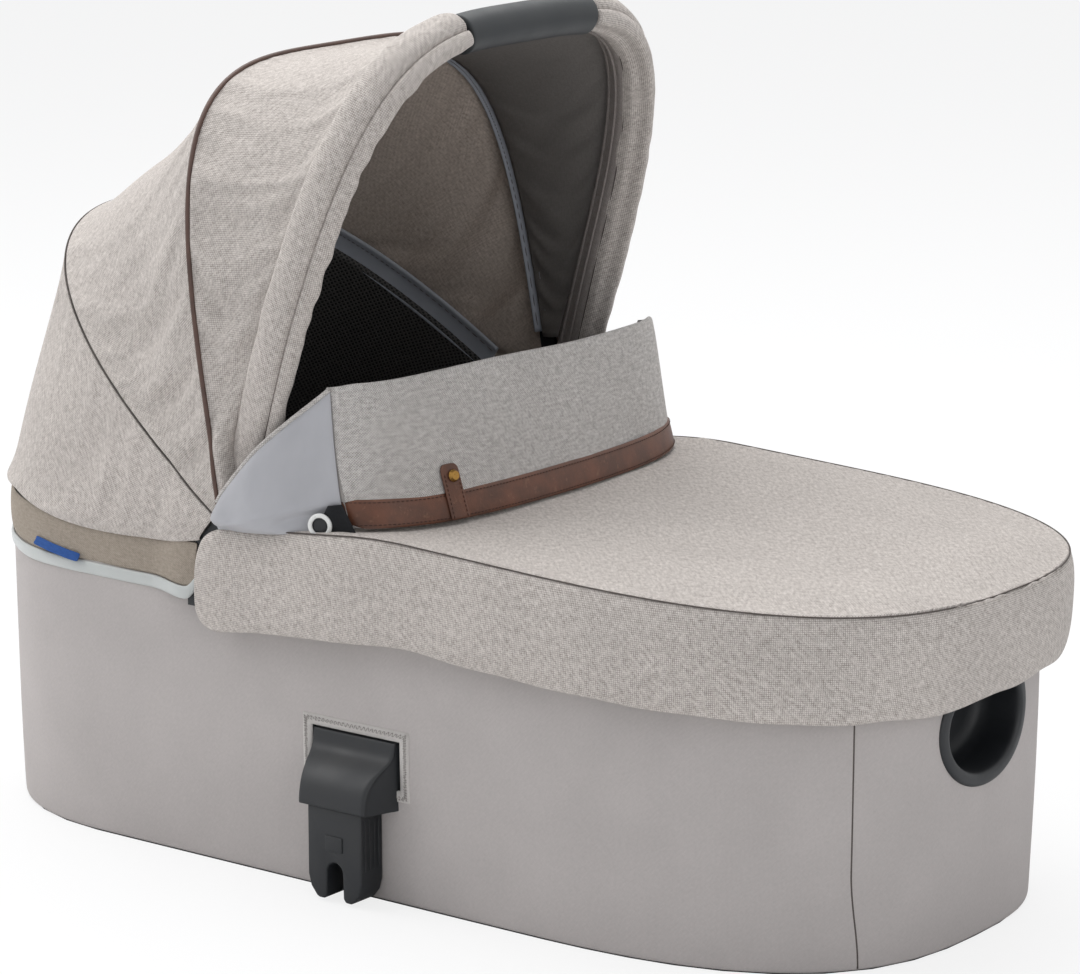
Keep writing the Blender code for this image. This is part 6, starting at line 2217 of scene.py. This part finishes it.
    def gusset(self, label: str, side: float) -> None:
        """Make one satin gusset, puffed between its seams, from the flap's end out over the hood's foot."""
        share = np.linspace(0.0, 1.0, 41)[:, None]
        up = np.linspace(0.0, 1.0, 41)[None]
        round_end = np.sqrt(np.clip(1 - np.clip((share - 0.86) / 0.14, 0.0, 1.0) ** 2, 0.0, 1.0))
        middle = 0.2785
        low = middle + (0.2800 - 0.0130 * share - middle) * round_end
        crest = self.top - (6.5 * MM if side < 0 else self.far_drop + 14.5 * MM)
        high = middle + (crest - 0.080 * share - 0.022 * share ** 2 - middle) * round_end
        z = low + (high - low) * up
        front = self.point(np.full_like(up, side * (self.half_width - 1.0 * MM)), up * 0.96)[..., 0] - 1.2 * MM
        x = front + (self.gusset_back - front) * share
        inside = np.sin(math.pi * share) ** 0.6 * np.sin(math.pi * up) ** 0.6
        # the fold above the ring snap, which the puff hangs over
        fold_z = np.interp(share, [0.0, 0.12, 0.29, 0.40, 0.49], [0.2970, 0.2940, 0.2897, 0.2854, 0.2775])
        free = np.clip(eased((z - fold_z) / (3.5 * MM)) + eased((share - 0.44) / 0.10), 0.0, 1.0)
        grid = np.stack(np.broadcast_arrays(x, 0.0, z), axis=2).astype(float)
        pucker = Ripple(191, 0.032, (1.0, 1.0, 1.8)).at(grid) * 0.9 * MM
        base = 0.1988 + 0.0217 * eased(share / 0.62)
        tucked = 7.5 * MM * eased((0.2785 - z) / 0.011) * eased(share / 0.3)
        fold = 1.4 * MM * np.exp(-((up - 0.20) / 0.05) ** 2) * np.sin(math.pi * share) ** 0.5
        puff = (4.8 * MM + pucker) * inside + fold + 0.8 * MM * inside ** 0.3
        grid[..., 1] = side * (base + puff * free - tucked)
        piece = skin(
            f"gusset_satin_{label}", grid, "grey_satin", away_from=(-0.04, 0.0, 0.3),
            thickness=1.0 * MM, smoother=1,
        )
        self.bend(piece)
        noted(piece, "satin", f"gusset_{label}")
        binding = grid[:38, -1] + np.array([0.0, side * 0.2 * MM, 0.4 * MM])
        roll = tube(f"gusset_binding_{label}", binding, 1.8 * MM, "flap_canvas", sides=10)
        self.bend(roll)
        noted(roll, "flap_cloth")
        self.edge(label, side)

    def edge(self, label: str, side: float) -> None:
        """Bind the flap's end with a dark cord, and sew on the webbing and the ring snap."""
        up = np.linspace(0.03, 0.94, 40)
        line = self.point(np.full_like(up, side * (self.half_width - 0.2 * MM)), up, -1.0 * MM)
        line[:, 2] -= (4.0 * MM if side < 0 else self.far_drop + 9.0 * MM) * up ** 3
        cord = tube(f"flap_end_cord_{label}", line, 0.8 * MM, "dark_thread_and_groove_shade")
        self.bend(cord)
        noted(cord, "lining_cloth")
        low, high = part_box(f"ring_snap_{label}")
        centre = (low + high) / 2
        centre.z -= self.ring_drop
        centre.x += self.snap_ahead
        face = min(abs(low.y), abs(high.y)) + self.ring_out
        turned = math.radians(self.snap_turn)
        share, up = np.meshgrid(np.linspace(0.0, 1.0, 11), np.linspace(0.0, 1.0, 7))
        grid = np.zeros((7, 11, 3))
        grid[..., 0] = centre.x + (-8.0 + 13.0 * up + (38.0 - 28.0 * up) * share) * MM
        grid[..., 2] = centre.z + (-7.5 + 23.0 * up + 1.5 * share) * MM
        grid[..., 1] = side * (face - 0.4 * MM - 4.6 * MM * eased((share - 0.3) / 0.6))
        tape = skin(
            f"snap_webbing_{label}", grid, "black_webbing", away_from=(0.0, 0.0, 0.29),
            thickness=0.9 * MM, smoother=1,
        )
        ride(tape, "apron", "lining_cloth")
        # the ring's section: (radius, proud of its back) in mm
        section = [
            (6.1, 0.0), (6.0, 1.6), (6.5, 2.5), (7.7, 2.8), (9.0, 2.4), (9.6, 1.5), (9.6, 0.0), (6.1, 0.0),
        ]
        turn = np.linspace(0.0, 2 * math.pi, 49)

        def revolved(profile: list[tuple[float, float]]) -> Array:
            """Turn a profile about the snap's axis."""
            rows = []
            for radius, proud in profile:
                ahead = radius * MM * np.cos(turn)
                out = face + 1.8 * MM + proud * MM * math.cos(turned) - ahead * math.sin(turned)
                along = centre.x + ahead * math.cos(turned) + proud * MM * math.sin(turned)
                rows.append(np.stack([along, side * out, centre.z + radius * MM * np.sin(turn)], axis=1))
            return np.stack(rows)

        ring = skin(f"snap_ring_{label}", revolved(section), "white_acetal", smoother=1)
        ride(ring, "apron", "white_plastic", f"ring_snap_{label}")
        # the socket in its middle, a shallow dome
        dome = [(7.0, 0.2), (5.9, 0.4), (5.7, 0.9), (4.4, 1.3), (2.0, 1.0), (0.05, 0.9)]
        socket = skin(f"snap_socket_{label}", revolved(dome), "black_nylon", smoother=1)
        ride(socket, "apron", "black_plastic", f"snap_core_{label}")


def dress_solids() -> None:
    """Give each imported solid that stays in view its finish."""
    finishes = {
        "base_tray": "black_nylon", "side_shell": "grey_polypropylene", "rim_frame": "anodised_aluminium",
        "front_bow": "anodised_aluminium", "mid_bow": "black_nylon", "rear_bow": "black_nylon",
        "tab_snap": "aged_brass",
    }
    for label in SIDES:
        finishes[f"hinge_housing_{label}"] = "black_nylon"
        finishes[f"hinge_pin_{label}"] = "zinc_steel"
        for end in ("head", "foot"):
            finishes[f"adapter_screw_{label}_{end}"] = "zinc_steel"
    for node, finish in finishes.items():
        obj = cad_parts[node]
        if obj.material_slots:
            obj.material_slots[0].material = WARDROBE[finish]
        else:
            obj.data.materials.append(WARDROBE[finish])
        LOG.info("%s: solid kept, in %s", node, finish)


@dataclass(frozen=True)
class Studio:
    """The white studio: floor, soft lights and the camera."""

    camera_place: tuple[float, float, float] = (2.0111, -2.6357, 1.0501)
    camera_turn: tuple[float, float, float] = (76.882, 0.0, 36.949)
    lens: float = 146.08
    shift: tuple[float, float] = (0.0020, 0.0004)
    background: str = "#FFFFFF"
    sky: str = "#F4F6FA"
    sky_strength: float = 0.57
    floor_half: float = 30.0
    floor_glow: float = 0.80
    aim: tuple[float, float, float] = (0.0, 0.0, 0.25)

    def build(self) -> None:
        """Make the world, the floor, the lights and the camera."""
        self.world()
        self.floor()
        self.light("key", (-2.2, -1.2, 2.3), 2.2, 40.0)
        self.light("top", (-0.6, 0.6, 2.9), 2.6, 67.0)
        self.light("fill", (2.4, -0.9, 1.0), 1.6, 7.5)
        self.camera()

    def world(self) -> None:
        """Light the set evenly, and show white wherever the camera, metal or glass looks past it."""
        world = bpy.data.worlds.new("studio")
        bpy.context.scene.world = world
        world.use_nodes = True
        tree = world.node_tree
        tree.nodes.clear()
        rays = add_node(tree, "LightPath").outputs
        seen = worked(tree, "MAXIMUM", rays["Is Camera Ray"], rays["Is Glossy Ray"])
        shown = worked(tree, "MAXIMUM", seen, rays["Is Transmission Ray"])
        lit = {"Color": linear(self.sky), "Strength": self.sky_strength}
        dim = add_node(tree, "Background", lit).outputs[0]
        white = add_node(tree, "Background", {"Color": linear(self.background), "Strength": 1.0}).outputs[0]
        mixed = add_node(tree, "MixShader", {0: shown, 1: dim, 2: white}).outputs[0]
        add_node(tree, "OutputWorld", {0: mixed})

    def floor(self) -> None:
        """Lay a plain pale floor that keeps the cot's shadow."""
        bm = bmesh.new()
        bmesh.ops.create_grid(bm, x_segments=1, y_segments=1, size=self.floor_half)
        obj = linked("floor", bm, "floor_paint")
        tree = WARDROBE["floor_paint"].node_tree
        part = worked(tree, "MULTIPLY", add_node(tree, "LightPath").outputs["Is Camera Ray"], self.floor_glow)
        glow = add_node(tree, "Emission", {"Color": linear(self.background), "Strength": 1.0}).outputs[0]
        painted = tree.nodes["Principled BSDF"].outputs[0]
        mixed = add_node(tree, "MixShader", {0: part, 1: painted, 2: glow}).outputs[0]
        tree.links.new(mixed, tree.nodes["Material Output"].inputs[0])
        LOG.info("floor: laid")

    def light(self, name: str, place: tuple[float, float, float], size: float, power: float) -> None:
        """Hang one soft lamp and aim it at the cot.

        Args:
            name: What it is called.
            place: Where it hangs.
            size: The side of its square panel.
            power: Its strength in watts.
        """
        data = bpy.data.lights.new(name, "AREA")
        data.size = size
        data.energy = power
        obj = added(name, data)
        obj.location = place
        heading = Vector(self.aim) - Vector(place)
        obj.rotation_euler = heading.to_track_quat("-Z", "Y").to_euler()
        LOG.info("%s lamp: %.0f W", name, power)

    def camera(self) -> None:
        """Stand the camera where the picture was taken from."""
        data = bpy.data.cameras.new("camera")
        data.sensor_width = 36.0
        data.lens = self.lens
        data.shift_x, data.shift_y = self.shift
        obj = added("camera", data)
        obj.location = self.camera_place
        obj.rotation_euler = tuple(math.radians(turn) for turn in self.camera_turn)
        bpy.context.scene.camera = obj
        bpy.context.scene.view_settings.view_transform = "Standard"
        LOG.info("camera: %.0f mm lens", self.lens)


def main() -> None:
    """Dress the cot piece by piece."""
    logging.basicConfig(level=logging.INFO, format="%(name)s %(message)s")
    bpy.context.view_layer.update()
    WARDROBE.update({finish.name: finish.make() for finish in FINISHES})
    dress_solids()
    for piece in (Tub(), Adapter(), Hood(), NeckBand(), Apron(), WindFlap(), Studio()):
        piece.build()


if __name__ == "__main__":
    main()
